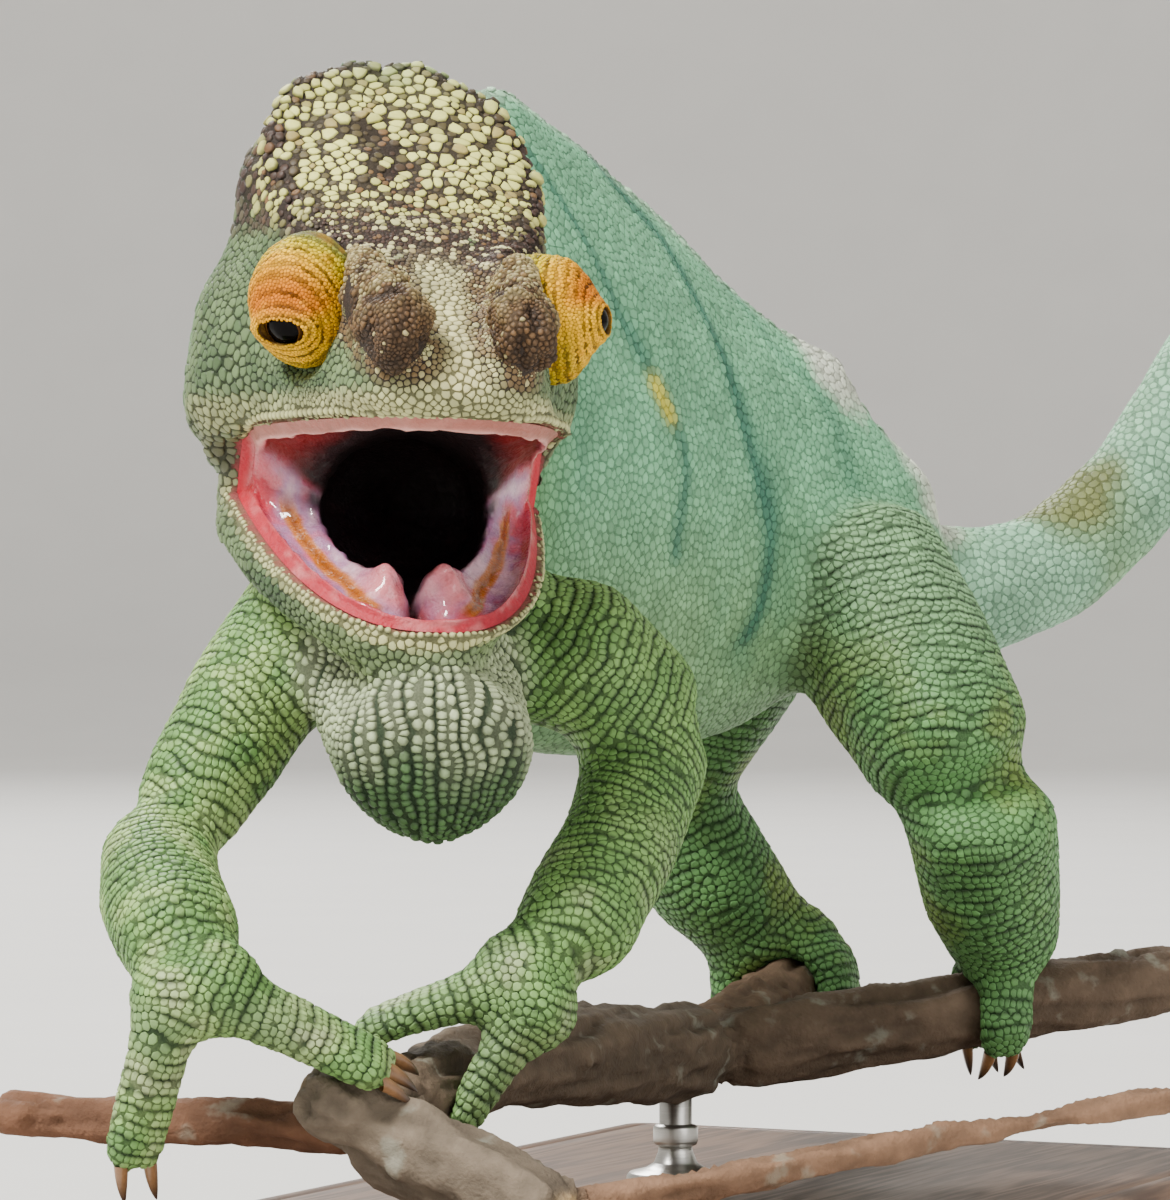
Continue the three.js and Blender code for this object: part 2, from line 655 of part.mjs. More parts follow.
addMade('upper_arm_right', GREEN, 0.62, segment(ARM_RIGHT.upper));
addMade('forearm_right', GREEN, 0.62, segment(ARM_RIGHT.fore));
addMade('hand_inner_right', GREEN, 0.62, bundle({
  toes: 3,
  palm: [-58, -18, -60.5, 9],
  route: [[-56, -18, -62, 1.25], [-46, -17, -66.5, 1.1], [-37, -14, -71, 1], [-30, -9, -75, 0.85]],
  spread: [0.6, 4.6, 1.6],
}));
addMade('hand_outer_right', GREEN, 0.62, bundle({
  toes: 2,
  palm: [-64, -19, -62, 8],
  route: [[-64, -20, -63, 1.3], [-68, -21, -72, 1.2], [-70.5, -20, -82, 1.05], [-70, -17, -90, 0.85]],
  spread: [4.4, 3.4, 0],
}));
addMade('upper_arm_left', GREEN, 0.62, segment(ARM_LEFT.upper));
addMade('forearm_left', GREEN, 0.62, segment(ARM_LEFT.fore));
addMade('hand_inner_left', GREEN, 0.62, bundle({
  toes: 3,
  palm: [-10, 11, -61, 9.4],
  route: [[-12, 10, -62, 1.3], [-22, 10, -63.5, 1.2], [-31, 11, -66.5, 1.05], [-37, 14, -72, 0.85]],
  spread: [0.8, 4.8, 0.6],
}));
addMade('hand_outer_left', GREEN, 0.62, bundle({
  toes: 2,
  palm: [-8, 9, -66, 8.4],
  route: [[-9, 9, -66, 1.35], [-12.5, 7, -75, 1.25], [-17.5, 6, -82, 1.1], [-22.5, 7, -87.5, 0.85]],
  spread: [1.6, 4.6, 0],
}));

/** Where the left foot holds its arm of the fork, and which way that arm runs. */
const GRIP = {
  middle: new THREE.Vector3(78, 155, -77),
  along: new THREE.Vector3(0.95, 0.3, 0.09).normalize(),
  reach: 11.4,
};

/** Toe rows that run round the gripped branch from its top, in front of it (1) or behind it (-1). */
function gripRoute(face, shift, angles) {
  const outward = GRIP.along.clone().cross(UP).multiplyScalar(face).normalize();
  return angles.map(([degrees, share]) => {
    const angle = degToRad(degrees);
    const point = GRIP.middle.clone().addScaledVector(GRIP.along, shift);
    point.addScaledVector(outward, GRIP.reach * Math.sin(angle));
    point.addScaledVector(UP, GRIP.reach * Math.cos(angle));
    return [...point.toArray(), share];
  });
}

const TOE_TURNS = [[25, 1.3], [65, 1.2], [105, 1.05], [142, 0.85]];
const TOE_SPREAD = GRIP.along.clone().multiplyScalar(4.8).toArray();
const FOOT_SHAPE = { spread: TOE_SPREAD, rings: 7 };
const FOOT_INNER = {
  ...FOOT_SHAPE,
  toes: 2,
  palm: [77, 150, -67.5, 8.2],
  route: gripRoute(1, -2, TOE_TURNS),
};
const FOOT_OUTER = {
  ...FOOT_SHAPE,
  toes: 3,
  palm: [81, 159, -67.5, 8.2],
  route: gripRoute(-1, 2, TOE_TURNS),
};

/** The same bundle on the other side. */
function mirroredBundle({ toes, palm, route, spread, rings }) {
  return { toes, palm: mirrored(palm), route: route.map(mirrored), spread: mirroredDirection(spread), rings };
}

addMade('thigh_left', DEEP_GREEN, 0.62, segment(LEG.thigh));
addMade('shank_left', DEEP_GREEN, 0.62, segment(LEG.shank));
addMade('foot_inner_left', DEEP_GREEN, 0.62, bundle(FOOT_INNER));
addMade('foot_outer_left', DEEP_GREEN, 0.62, bundle(FOOT_OUTER));
addMade('thigh_right', DEEP_GREEN, 0.62, segment(LEG.thigh.map(mirrored)));
addMade('shank_right', DEEP_GREEN, 0.62, segment(LEG.shank.map(mirrored)));
addMade('foot_inner_right', DEEP_GREEN, 0.62, bundle(mirroredBundle(FOOT_INNER)));
addMade('foot_outer_right', DEEP_GREEN, 0.62, bundle(mirroredBundle(FOOT_OUTER)));

export default group;
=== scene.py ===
"""A gaping adult male Parson's chameleon on a cut branch and a display stand, dressed round its frame.

Shapes are worked out in millimetres and become metres when a mesh becomes an object.
"""

import logging
import math
from dataclasses import dataclass, field
from enum import Enum
from typing import Any, Callable, Optional, Sequence, Union

import bpy
import numpy as np
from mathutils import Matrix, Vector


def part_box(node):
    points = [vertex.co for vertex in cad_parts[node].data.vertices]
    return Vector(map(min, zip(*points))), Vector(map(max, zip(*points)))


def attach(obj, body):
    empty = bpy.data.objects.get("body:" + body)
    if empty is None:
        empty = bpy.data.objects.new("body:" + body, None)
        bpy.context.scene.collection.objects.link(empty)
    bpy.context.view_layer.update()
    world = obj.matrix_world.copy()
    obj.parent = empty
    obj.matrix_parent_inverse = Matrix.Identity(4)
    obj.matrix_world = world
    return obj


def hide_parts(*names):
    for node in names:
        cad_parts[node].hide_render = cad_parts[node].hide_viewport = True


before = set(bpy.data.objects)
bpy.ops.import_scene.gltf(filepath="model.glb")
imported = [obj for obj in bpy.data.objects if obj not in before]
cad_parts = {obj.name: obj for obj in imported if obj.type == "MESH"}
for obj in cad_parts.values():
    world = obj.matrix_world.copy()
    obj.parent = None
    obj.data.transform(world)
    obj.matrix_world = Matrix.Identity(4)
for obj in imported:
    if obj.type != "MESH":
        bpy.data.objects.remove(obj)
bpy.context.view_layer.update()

import openvdb
from bpy.types import ColorRamp, Material, NodeSocket, Object
from mathutils import Vector
from mathutils.bvhtree import BVHTree
from mathutils.kdtree import KDTree

logging.basicConfig(level=logging.INFO, format="%(message)s")
log = logging.getLogger("chameleon")

Array = np.ndarray
Colour = tuple[float, float, float]
Pair = tuple[float, float]
MM = 0.001
FULL_TURN = 2 * math.pi
FAR = 99.0


# ---- numbers ----


def unit(vectors: Array) -> Array:
    """Vectors scaled to a length of one."""
    return vectors / np.maximum(np.linalg.norm(vectors, axis=-1, keepdims=True), 1e-9)


def dot(first: Array, second: Array) -> Array:
    """The dot product of each pair of rows."""
    return np.einsum("...k,...k->...", first, second)


def step(value: Array, low: float, high: float) -> Array:
    """A smooth rise from 0 at low to 1 at high, or a fall where low is above high."""
    share = np.clip((value - low) / (high - low), 0, 1)
    return share * share * (3 - 2 * share)


def hump(distance: Array, width: float) -> Array:
    """A bell that is 1 at distance 0 and has faded away by about twice the width."""
    return np.exp(-((distance / width) ** 2))


def mixed(first: Array, second: Array, share: Array) -> Array:
    """Rows of first turned into rows of second by a share for each row."""
    return first + (np.asarray(second) - first) * np.asarray(share)[:, None]


def painted(colour: Array, *coats: tuple[Array, Array]) -> Array:
    """A colour, or one for each spot, with others laid over it in turn by a share for each spot."""
    for coat, share in coats:
        colour = mixed(colour, coat, share)
    return colour


def round_steps(count: int, shift: float = 0.0) -> Array:
    """The angles of equal steps once round a circle."""
    return (np.arange(count) + shift) * FULL_TURN / count


def tangled(cell: Array, seed: int) -> Array:
    """An unordered number from -1 to 1 for each whole-number cell."""
    factors = np.array([73856093, 19349663, 83492791], dtype=np.uint64)
    mash = (cell.astype(np.int64).astype(np.uint64) * factors).sum(axis=-1, dtype=np.uint64)
    mash = (mash ^ np.uint64(seed * 2654435761 + 97)) * np.uint64(0x9E3779B97F4A7C15)
    mash = (mash ^ (mash >> np.uint64(29))) * np.uint64(0xBF58476D1CE4E5B9)
    return (mash >> np.uint64(40)).astype(float) / float(1 << 23) - 1


def noise(points: Array, size: float, seed: int = 0) -> Array:
    """Smooth noise from -1 to 1.

    Args:
        points: Where to read it, in millimetres.
        size: The size of its lumps, in millimetres.
        seed: Which of many such noises.

    Returns:
        One number for each point.
    """
    spot = points / size + seed * 7.31
    cell = np.floor(spot)
    part = spot - cell
    part = part * part * (3 - 2 * part)
    total = np.zeros(len(points))
    for corner in np.ndindex(2, 2, 2):
        weight = np.prod(np.where(np.array(corner) == 1, part, 1 - part), axis=-1)
        total += weight * tangled(cell + corner, seed)
    return total


def layered(points: Array, size: float, seed: int = 0, layers: int = 3) -> Array:
    """Noise with finer noise on it, each layer half as big and half as strong."""
    return sum(noise(points, size / 2**k, seed + k) / 2**k for k in range(layers))


def gaps_to(points: Array, spot: Array) -> Array:
    """How far points are from a spot."""
    return np.linalg.norm(points - spot, axis=1)


def line_distance(points: Array, line: Sequence[Sequence[float]]) -> tuple[Array, Array]:
    """How far points are from a bent line.

    Args:
        points: The points, in millimetres.
        line: The line's corners.

    Returns:
        The distance to the line, and how far along it the nearest spot is.
    """
    corners = np.array(line, dtype=float)
    best = np.full(len(points), np.inf)
    along = np.zeros(len(points))
    travelled = 0.0
    for start, end in zip(corners[:-1], corners[1:]):
        run = end - start
        length = float(np.linalg.norm(run))
        share = np.clip((points - start) @ run / length**2, 0, 1)
        gap = np.linalg.norm(points - start - share[:, None] * run, axis=1)
        closer = gap < best
        best = np.where(closer, gap, best)
        along = np.where(closer, travelled + share * length, along)
        travelled += length
    return best, along


def paint(red: int, green: int, blue: int) -> Array:
    """A colour given as on a paint card, 0 to 255, as the light it sends back."""
    card = np.array([red, green, blue], dtype=float) / 255
    return np.where(card < 0.04045, card / 12.92, ((card + 0.055) / 1.055) ** 2.4)


def shade(red: int, green: int, blue: int) -> Any:
    """A dataclass field that holds a colour of the paint card."""
    return field(default_factory=lambda: paint(red, green, blue))


# ---- places ----


@dataclass(frozen=True)
class Place:
    """A frame of its own: where its origin is, and its three axes as rows."""

    origin: Array
    axes: Array

    def inner(self, points: Array) -> Array:
        """Points of the model as points of this frame."""
        return (points - self.origin) @ self.axes.T

    def outer(self, points: Any) -> Array:
        """Points of this frame as points of the model."""
        return np.asarray(points, dtype=float) @ self.axes + self.origin

    def turned(self, directions: Any) -> Array:
        """Directions of this frame as directions of the model."""
        return np.asarray(directions, dtype=float) @ self.axes

    def turned_back(self, directions: Any) -> Array:
        """Directions of the model as directions of this frame."""
        return np.asarray(directions, dtype=float) @ self.axes.T

    def within(self, origin: Sequence[float], turn: Array) -> "Place":
        """A frame inside this one, moved to origin and turned by a matrix."""
        return Place(self.outer(origin), turn.T @ self.axes)


def about(axis: int, degrees: float) -> Array:
    """The matrix of a turn about the X, Y or Z axis (0, 1 or 2)."""
    cosine, sine = math.cos(math.radians(degrees)), math.sin(math.radians(degrees))
    first, second = (axis + 1) % 3, (axis + 2) % 3
    matrix = np.eye(3)
    matrix[first, first] = matrix[second, second] = cosine
    matrix[first, second], matrix[second, first] = -sine, sine
    return matrix


MODEL = Place(np.zeros(3), np.eye(3))
STANCE = MODEL.within((31, -90, 118), about(2, 26))
HEAD = STANCE.within((-25, 0, 30), about(2, 13.4) @ about(1, 2.5))
JAW = HEAD.within((0, 48, -9), about(0, 28))


# ---- surfaces ----


@dataclass
class Surface:
    """A mesh in millimetres: its points and its faces, all of three or all of four corners."""

    points: Array
    faces: Array

    def triangles(self) -> Array:
        """Its faces as triangles."""
        if self.faces.shape[1] == 3:
            return self.faces
        return np.vstack([self.faces[:, [0, 1, 2]], self.faces[:, [0, 2, 3]]])

    def face_normals(self) -> Array:
        """Each face's normal, as long as twice its area."""
        corners = [self.points[self.faces[:, k]] for k in range(self.faces.shape[1])]
        if len(corners) == 3:
            return np.cross(corners[1] - corners[0], corners[2] - corners[0])
        return np.cross(corners[2] - corners[0], corners[3] - corners[1])

    def normals(self) -> Array:
        """Each point's normal."""
        flat = self.face_normals()
        total = np.zeros_like(self.points)
        for k in range(self.faces.shape[1]):
            for axis in range(3):
                total[:, axis] += np.bincount(self.faces[:, k], flat[:, axis], len(self.points))
        return unit(total)

    def edges(self) -> Array:
        """Each pair of joined points once."""
        count = self.faces.shape[1]
        pairs = np.vstack([self.faces[:, [k, (k + 1) % count]] for k in range(count)])
        pairs.sort(axis=1)
        codes = np.unique(pairs[:, 0].astype(np.int64) * len(self.points) + pairs[:, 1])
        return np.stack([codes // len(self.points), codes % len(self.points)], axis=1)

    def largest(self) -> "Surface":
        """Only its biggest connected sheet, so that sealed bubbles inside it go."""
        edges = self.edges()
        label = np.arange(len(self.points))
        while True:
            low = np.minimum(label[edges[:, 0]], label[edges[:, 1]])
            new = label.copy()
            np.minimum.at(new, edges[:, 0], low)
            np.minimum.at(new, edges[:, 1], low)
            for _ in range(4):
                new = new[new]
            if (new == label).all():
                break
            label = new
        keep = label == np.bincount(label).argmax()
        number = np.cumsum(keep) - 1
        return Surface(self.points[keep], number[self.faces[keep[self.faces[:, 0]]]])

    def tree(self) -> BVHTree:
        """A tree for finding the nearest spot on it."""
        return BVHTree.FromPolygons(self.points.tolist(), self.faces.tolist())

    def level_set(self, voxel: float) -> openvdb.FloatGrid:
        """Its inside and outside as a grid of distances."""
        return openvdb.FloatGrid.createLevelSetFromPolygons(
            self.points.astype(np.float32),
            triangles=self.triangles().astype(np.uint32),
            transform=openvdb.createLinearTransform(voxelSize=voxel),
            halfWidth=3,
        )

    def rebuilt(self, voxel: float, hollow: Optional["Surface"] = None) -> "Surface":
        """Its outer skin as an even mesh of squares.

        Args:
            voxel: The size of the squares, in millimetres.
            hollow: A closed surface whose inside is taken out.

        Returns:
            The new surface, its faces looking out.
        """
        grid = self.level_set(voxel)
        if hollow is not None:
            low = np.floor(self.points.min(axis=0) / voxel).astype(int) - 5
            high = np.ceil(self.points.max(axis=0) / voxel).astype(int) + 5
            solid, taken = np.empty((2, *(high - low)), dtype=np.float32)
            grid.copyToArray(solid, ijk=tuple(low.tolist()))
            hollow.level_set(voxel).copyToArray(taken, ijk=tuple(low.tolist()))
            left = openvdb.FloatGrid(3 * voxel)
            left.transform = openvdb.createLinearTransform(voxelSize=voxel)
            left.copyFromArray(np.maximum(solid, -taken), ijk=tuple(low.tolist()))
            grid = left
        points, quads = grid.convertToQuads()
        made = Surface(points.astype(float), quads.astype(np.int64)).largest()
        if dot(made.points[made.faces[:, 0]], made.face_normals()).sum() < 0:
            made.faces = made.faces[:, ::-1].copy()
        return made

    def grown(self, distance: float) -> "Surface":
        """A copy moved out along its normals."""
        return Surface(self.points + self.normals() * distance, self.faces)

    def evened(self, values: Array, rounds: int, edges: Optional[Array] = None) -> Array:
        """Values of its points averaged with their neighbours', again and again."""
        edges = self.edges() if edges is None else edges
        flat = values.reshape(len(values), -1).astype(float)
        count = np.bincount(edges.ravel(), minlength=len(flat))[:, None]
        for _ in range(rounds):
            total = np.empty_like(flat)
            for k in range(flat.shape[1]):
                total[:, k] = np.bincount(edges[:, 0], flat[edges[:, 1], k], len(flat))
                total[:, k] += np.bincount(edges[:, 1], flat[edges[:, 0], k], len(flat))
            flat = 0.5 * flat + 0.5 * total / count
        return flat.reshape(values.shape)

    def softened(self, strength: Array, rounds: int) -> None:
        """Melts facets away and then gives back what the melting took from the whole.

        Args:
            strength: How far each point follows, from 0 to 1.
            rounds: How many times each point moves to the middle of its neighbours.
        """
        edges = self.edges()
        before = self.points.copy()
        normals = self.normals()
        melted = before.copy()
        batch = 6
        for _ in range(rounds // batch):
            melted = mixed(melted, self.evened(melted, batch, edges), strength)
        shrunk = dot(before - melted, normals)
        back = self.evened(shrunk, rounds // 2, edges) * strength
        self.points = melted + normals * back[:, None]

    def to_object(self, name: str, material: Material, **values: Array) -> Object:
        """Makes it an object in metres.

        Args:
            name: The piece's name.
            material: Its finish.
            values: Numbers or colours of its points that the finish reads, by name.

        Returns:
            The new object, linked to the scene.
        """
        mesh = bpy.data.meshes.new(name)
        corners = self.faces.shape[1]
        mesh.vertices.add(len(self.points))
        mesh.vertices.foreach_set("co", (self.points * MM).astype(np.float32).ravel())
        mesh.loops.add(self.faces.size)
        mesh.loops.foreach_set("vertex_index", self.faces.astype(np.int32).ravel())
        mesh.polygons.add(len(self.faces))
        starts = np.arange(len(self.faces), dtype=np.int32) * corners
        mesh.polygons.foreach_set("loop_start", starts)
        mesh.polygons.foreach_set("use_smooth", np.ones(len(self.faces), dtype=bool))
        mesh.update(calc_edges=True)
        for key, numbers in values.items():
            if numbers.ndim == 2:
                layer = mesh.attributes.new(key, "FLOAT_COLOR", "POINT")
                rgba = np.ones((len(numbers), 4), dtype=np.float32)
                rgba[:, :3] = numbers
                layer.data.foreach_set("color", rgba.ravel())
            else:
                layer = mesh.attributes.new(key, "FLOAT", "POINT")
                layer.data.foreach_set("value", numbers.astype(np.float32))
        mesh.materials.append(material)
        piece = bpy.data.objects.new(name, mesh)
        bpy.context.scene.collection.objects.link(piece)
        return piece


def node_surface(name: str, grow: float = 0.0) -> Surface:
    """A frame node's solid, grown all round by some millimetres."""
    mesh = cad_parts[name].data
    points = np.empty(len(mesh.vertices) * 3)
    mesh.vertices.foreach_get("co", points)
    mesh.calc_loop_triangles()
    corners = np.empty(len(mesh.loop_triangles) * 3, dtype=np.int32)
    mesh.loop_triangles.foreach_get("vertices", corners)
    rounded = np.round(points.reshape(-1, 3) / MM, 3)
    merged, inverse = np.unique(rounded, axis=0, return_inverse=True)
    return Surface(merged, inverse.reshape(-1)[corners].reshape(-1, 3)).grown(grow)


def gathered(surfaces: Sequence[Surface]) -> Surface:
    """Several surfaces as one, not joined."""
    starts = np.cumsum([0] + [len(surface.points) for surface in surfaces[:-1]])
    faces = [surface.faces + start for surface, start in zip(surfaces, starts)]
    return Surface(np.vstack([surface.points for surface in surfaces]), np.vstack(faces))


def long_axis(points: Array) -> Array:
    """The way that a cloud of points is longest."""
    return np.linalg.svd(points - points.mean(axis=0), full_matrices=False)[2][0]


def nearest(tree: BVHTree, points: Array) -> list[Array]:
    """The places, normals and faces of a surface nearest to points, and how far off they are."""
    hits = [tree.find_nearest(Vector(point)) for point in points]
    return [np.array(column) for column in zip(*hits)]


def point_tree(points: Array) -> KDTree:
    """A tree for finding which points are nearest to a spot."""
    tree = KDTree(len(points))
    for row, point in enumerate(points.tolist()):
        tree.insert(point, row)
    tree.balance()
    return tree


def lathed(profile: Sequence[Pair], around: int) -> Array:
    """Rings of points round the third axis, one for each radius and height of a profile."""
    turn = round_steps(around)
    radius, height = (column[:, None] for column in np.array(profile, dtype=float).T)
    level = np.repeat(height, around, axis=1)
    return np.stack([radius * np.cos(turn), radius * np.sin(turn), level], axis=-1)


def sheet_of_rings(rings: Array) -> Surface:
    """A surface over rings (by points by three), open before its first and after its last ring."""
    count, around = rings.shape[:2]
    index = np.arange(count * around).reshape(count, around)
    index = np.hstack([index, index[:, :1]])
    quads = np.stack([index[:-1, :-1], index[:-1, 1:], index[1:, 1:], index[1:, :-1]], axis=-1)
    return Surface(rings.reshape(-1, 3), quads.reshape(-1, 4))


def facing_out(surface: Surface) -> Surface:
    """A closed surface with its faces looking out."""
    corner = surface.points[surface.faces[:, 0]] - surface.points.mean(axis=0)
    if dot(corner, surface.face_normals()).sum() < 0:
        surface.faces = surface.faces[:, ::-1].copy()
    return surface


def closed_up(rings: Array) -> Surface:
    """A closed surface over rings, with a fan over its first and its last."""
    around = rings.shape[1]
    surface = sheet_of_rings(rings)
    count = len(surface.points)
    middles = np.stack([rings[0].mean(axis=0), rings[-1].mean(axis=0)])
    index = np.arange(around)
    after = (index + 1) % around
    first = np.stack([after, index, np.full(around, count)], axis=1)
    last = np.stack([index, after, np.full(around, around + 1)], axis=1) + (count - around)
    faces = np.vstack([surface.triangles(), first, last])
    return facing_out(Surface(np.vstack([surface.points, middles]), faces))


def dress(piece: Object, slot: str, *nodes: str) -> None:
    """Hangs a piece on the frame's root, hides the nodes that it stands for and logs its faces."""
    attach(piece, "root")
    if nodes:
        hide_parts(*nodes)
    log.info("%-20s %7d faces", piece.name, len(piece.data.polygons))


# ---- shader maths ----

Value = Union[float, "Wire"]


def math_operators(operation: str) -> tuple[Callable[..., "Wire"], Callable[..., "Wire"]]:
    """An operator of wires, and the one for a number that comes before a wire."""
    return (
        lambda wire, other: wire.math(operation, wire, other),
        lambda wire, other: wire.math(operation, other, wire),
    )


class Wire:
    """A number, colour or vector on its way through a material's nodes."""

    def __init__(self, finish: "Finish", socket: NodeSocket) -> None:
        """Wraps a socket.

        Args:
            finish: The material it belongs to.
            socket: The output it comes from.
        """
        self.finish = finish
        self.socket = socket

    def math(self, operation: str, *values: Value) -> "Wire":
        """A Math node's result."""
        return self.finish.node("ShaderNodeMath", {"operation": operation}, dict(enumerate(values)))

    __add__, __radd__ = math_operators("ADD")
    __sub__, __rsub__ = math_operators("SUBTRACT")
    __mul__, __rmul__ = math_operators("MULTIPLY")

    def sine(self) -> "Wire":
        """Its sine."""
        return self.math("SINE", self)

    def clamped(self) -> "Wire":
        """Held between 0 and 1."""
        return self.finish.node("ShaderNodeClamp", {}, {"Value": self})

    def step(self, low: float, high: float) -> "Wire":
        """A smooth rise from 0 at low to 1 at high."""
        settings = {"interpolation_type": "SMOOTHSTEP"}
        return self.finish.node(
            "ShaderNodeMapRange", settings, {"Value": self, "From Min": low, "From Max": high}
        )


class Finish:
    """A material under construction."""

    def __init__(self, name: str, **constants: Any) -> None:
        """Starts a material with one main shader.

        Args:
            name: The material's name.
            constants: What stays the same all over it, by socket name with _ for a space.
        """
        self.material = bpy.data.materials.new(name)
        self.material.use_nodes = True
        self.tree = self.material.node_tree
        self.shader = self.tree.nodes["Principled BSDF"]
        for key, value in constants.items():
            self.shader.inputs[key.replace("_", " ")].default_value = value

    def node(
        self, kind: str, settings: dict[str, Any], inputs: dict[Any, Any], output: Any = 0
    ) -> Wire:
        """Adds a node.

        Args:
            kind: The node's type.
            settings: Its settings, made first; stops is a ramp's list of places and colours.
            inputs: Values or wires of its sockets, by name or number.
            output: Which of its outputs to go on from.

        Returns:
            The output as a wire.
        """
        made = self.tree.nodes.new(kind)
        for key, value in settings.items():
            if key == "stops":
                self._stops(made.color_ramp, value)
            else:
                setattr(made, key, value)
        for key, value in inputs.items():
            if isinstance(value, Wire):
                self.tree.links.new(value.socket, made.inputs[key])
            else:
                made.inputs[key].default_value = value
        return Wire(self, made.outputs[output])

    @staticmethod
    def _stops(ramp: ColorRamp, stops: Sequence[tuple[float, Colour]]) -> None:
        """Sets a ramp's stops."""
        while len(ramp.elements) < len(stops):
            ramp.elements.new(0.5)
        for element, (place, colour) in zip(ramp.elements, stops):
            element.position = place
            element.color = (*colour, 1)

    def mapped(self, name: str, colour: bool = True) -> Wire:
        """A colour or a number that the mesh's points carry."""
        output = "Color" if colour else "Fac"
        return self.node("ShaderNodeAttribute", {"attribute_name": name}, {}, output)

    def place(self) -> Wire:
        """The spot on the object, in metres."""
        return self.node("ShaderNodeTexCoord", {}, {}, "Object")

    def cloud(self, size: float, detail: float = 3.0, where: Optional[Wire] = None) -> Wire:
        """Noise from 0 to 1 with lumps of some millimetres."""
        inputs = {"Vector": where or self.place(), "Scale": 1 / (size * MM), "Detail": detail}
        return self.node("ShaderNodeTexNoise", {}, inputs, "Fac")

    def cells(self, size: float) -> Wire:
        """Distance from the middle of pebble-like cells of some millimetres, 0 to about 1."""
        inputs = {"Vector": self.place(), "Scale": 1 / (size * MM)}
        return self.node("ShaderNodeTexVoronoi", {}, inputs, "Distance")

    def stretched(self, factors: Colour) -> Wire:
        """The spot with each axis scaled, so that what reads it is drawn out."""
        settings = {"operation": "MULTIPLY"}
        return self.node("ShaderNodeVectorMath", settings, {0: self.place(), 1: factors})

    def blended(self, first: Any, second: Any, share: Value) -> Wire:
        """A colour or wire with a share of a second mixed in."""
        settings = {"data_type": "RGBA", "blend_type": "MIX"}
        pair = [(*c, 1) if isinstance(c, tuple) else c for c in (first, second)]
        return self.node("ShaderNodeMix", settings, {0: share, 6: pair[0], 7: pair[1]}, 2)

    def scaled(self, colour: Any, factor: Value) -> Wire:
        """A colour made lighter or darker by a factor."""
        settings = {"operation": "SCALE"}
        return self.node("ShaderNodeVectorMath", settings, {0: colour, "Scale": factor})

    def raised(self, height: Wire, depth: float, under: Optional[Wire] = None) -> Wire:
        """A bump of some millimetres from a height of 0 to 1."""
        inputs: dict[Any, Any] = {"Height": height, "Distance": depth * MM, "Strength": 1.0}
        if under is not None:
            inputs["Normal"] = under
        return self.node("ShaderNodeBump", {}, inputs, "Normal")

    def feed(self, **wires: Wire) -> Material:
        """Joins wires to the main shader, by socket name with _ for a space.

        Args:
            wires: The wires.

        Returns:
            The finished material.
        """
        for key, wire in wires.items():
            self.tree.links.new(wire.socket, self.shader.inputs[key.replace("_", " ")])
        return self.material


# ---- finishes ----


@dataclass(frozen=True)
class ScaleFinish:
    """The finish of solid scales: each its own tone, darkened towards its edge by painted shade."""

    name: str = "scales"
    roughness: float = 0.46
    shine: float = 0.36

    def material(self) -> Material:
        """Makes it."""
        finish = Finish(self.name, Specular_IOR_Level=self.shine)
        hue = finish.mapped("hue")
        tone = finish.mapped("tone", colour=False)
        fine = finish.cloud(0.3, 2)
        pale = finish.cloud(1.1, 2)
        colour = finish.scaled(hue, tone * (0.8 + 0.24 * fine + 0.2 * pale))
        rough = self.roughness + 0.2 * fine
        bumps = finish.raised(fine, 0.035)
        return finish.feed(Base_Color=colour, Roughness=rough.clamped(), Normal=bumps)


@dataclass(frozen=True)
class SkinFinish:
    """The finish of the soft skin that shows between the scales."""

    name: str = "skin"
    roughness: float = 0.62

    def material(self) -> Material:
        """Makes it."""
        finish = Finish(self.name, Specular_IOR_Level=0.3)
        hue = finish.mapped("hue")
        grain = finish.cells(0.4)
        cloud = finish.cloud(2.0, 4)
        tone = (0.7 + 0.5 * cloud) * (1.1 - 0.45 * grain)
        colour = finish.scaled(hue, tone)
        rough = (self.roughness + 0.2 * grain).clamped()
        return finish.feed(Base_Color=colour, Roughness=rough, Normal=finish.raised(1 - grain, 0.08))


@dataclass(frozen=True)
class WetFinish:
    """Wet tissue inside the mouth."""

    name: str = "mouth_tissue"

    def material(self) -> Material:
        """Makes it."""
        finish = Finish(
            self.name, Coat_Roughness=0.06, Specular_IOR_Level=0.3, Subsurface_Weight=0.12,
            Subsurface_Radius=(0.0030, 0.0010, 0.0008), Subsurface_Scale=0.6,
        )
        hue = finish.mapped("hue")
        wet = finish.mapped("wet", colour=False)
        veins = finish.cloud(1.6, 5)
        small = finish.cloud(0.5, 3)
        colour = finish.scaled(hue, 0.72 + 0.55 * veins)
        rough = (0.5 - 0.3 * wet + 0.12 * small).clamped()
        folds = finish.raised(small, 0.2, finish.raised(veins, 0.45))
        return finish.feed(Base_Color=colour, Roughness=rough, Normal=folds, Coat_Weight=wet)


@dataclass(frozen=True)
class BarkFinish:
    """Weathered bark and the pale ends of cut wood."""

    name: str = "bark"

    def material(self) -> Material:
        """Makes it."""
        finish = Finish(self.name, Specular_IOR_Level=0.25)
        hue = finish.mapped("hue")
        cloud = finish.cloud(3.5, 6)
        specks = finish.cloud(0.7, 3)
        colour = finish.scaled(hue, 0.45 + 0.9 * cloud)
        lichen = finish.cloud(7.0, 4).step(0.6, 0.72)
        colour = finish.blended(colour, (0.30, 0.33, 0.27), 0.35 * lichen)
        bumps = finish.raised(specks, 0.25, finish.raised(cloud, 0.6))
        return finish.feed(Base_Color=colour, Roughness=0.75 + 0.2 * specks, Normal=bumps)


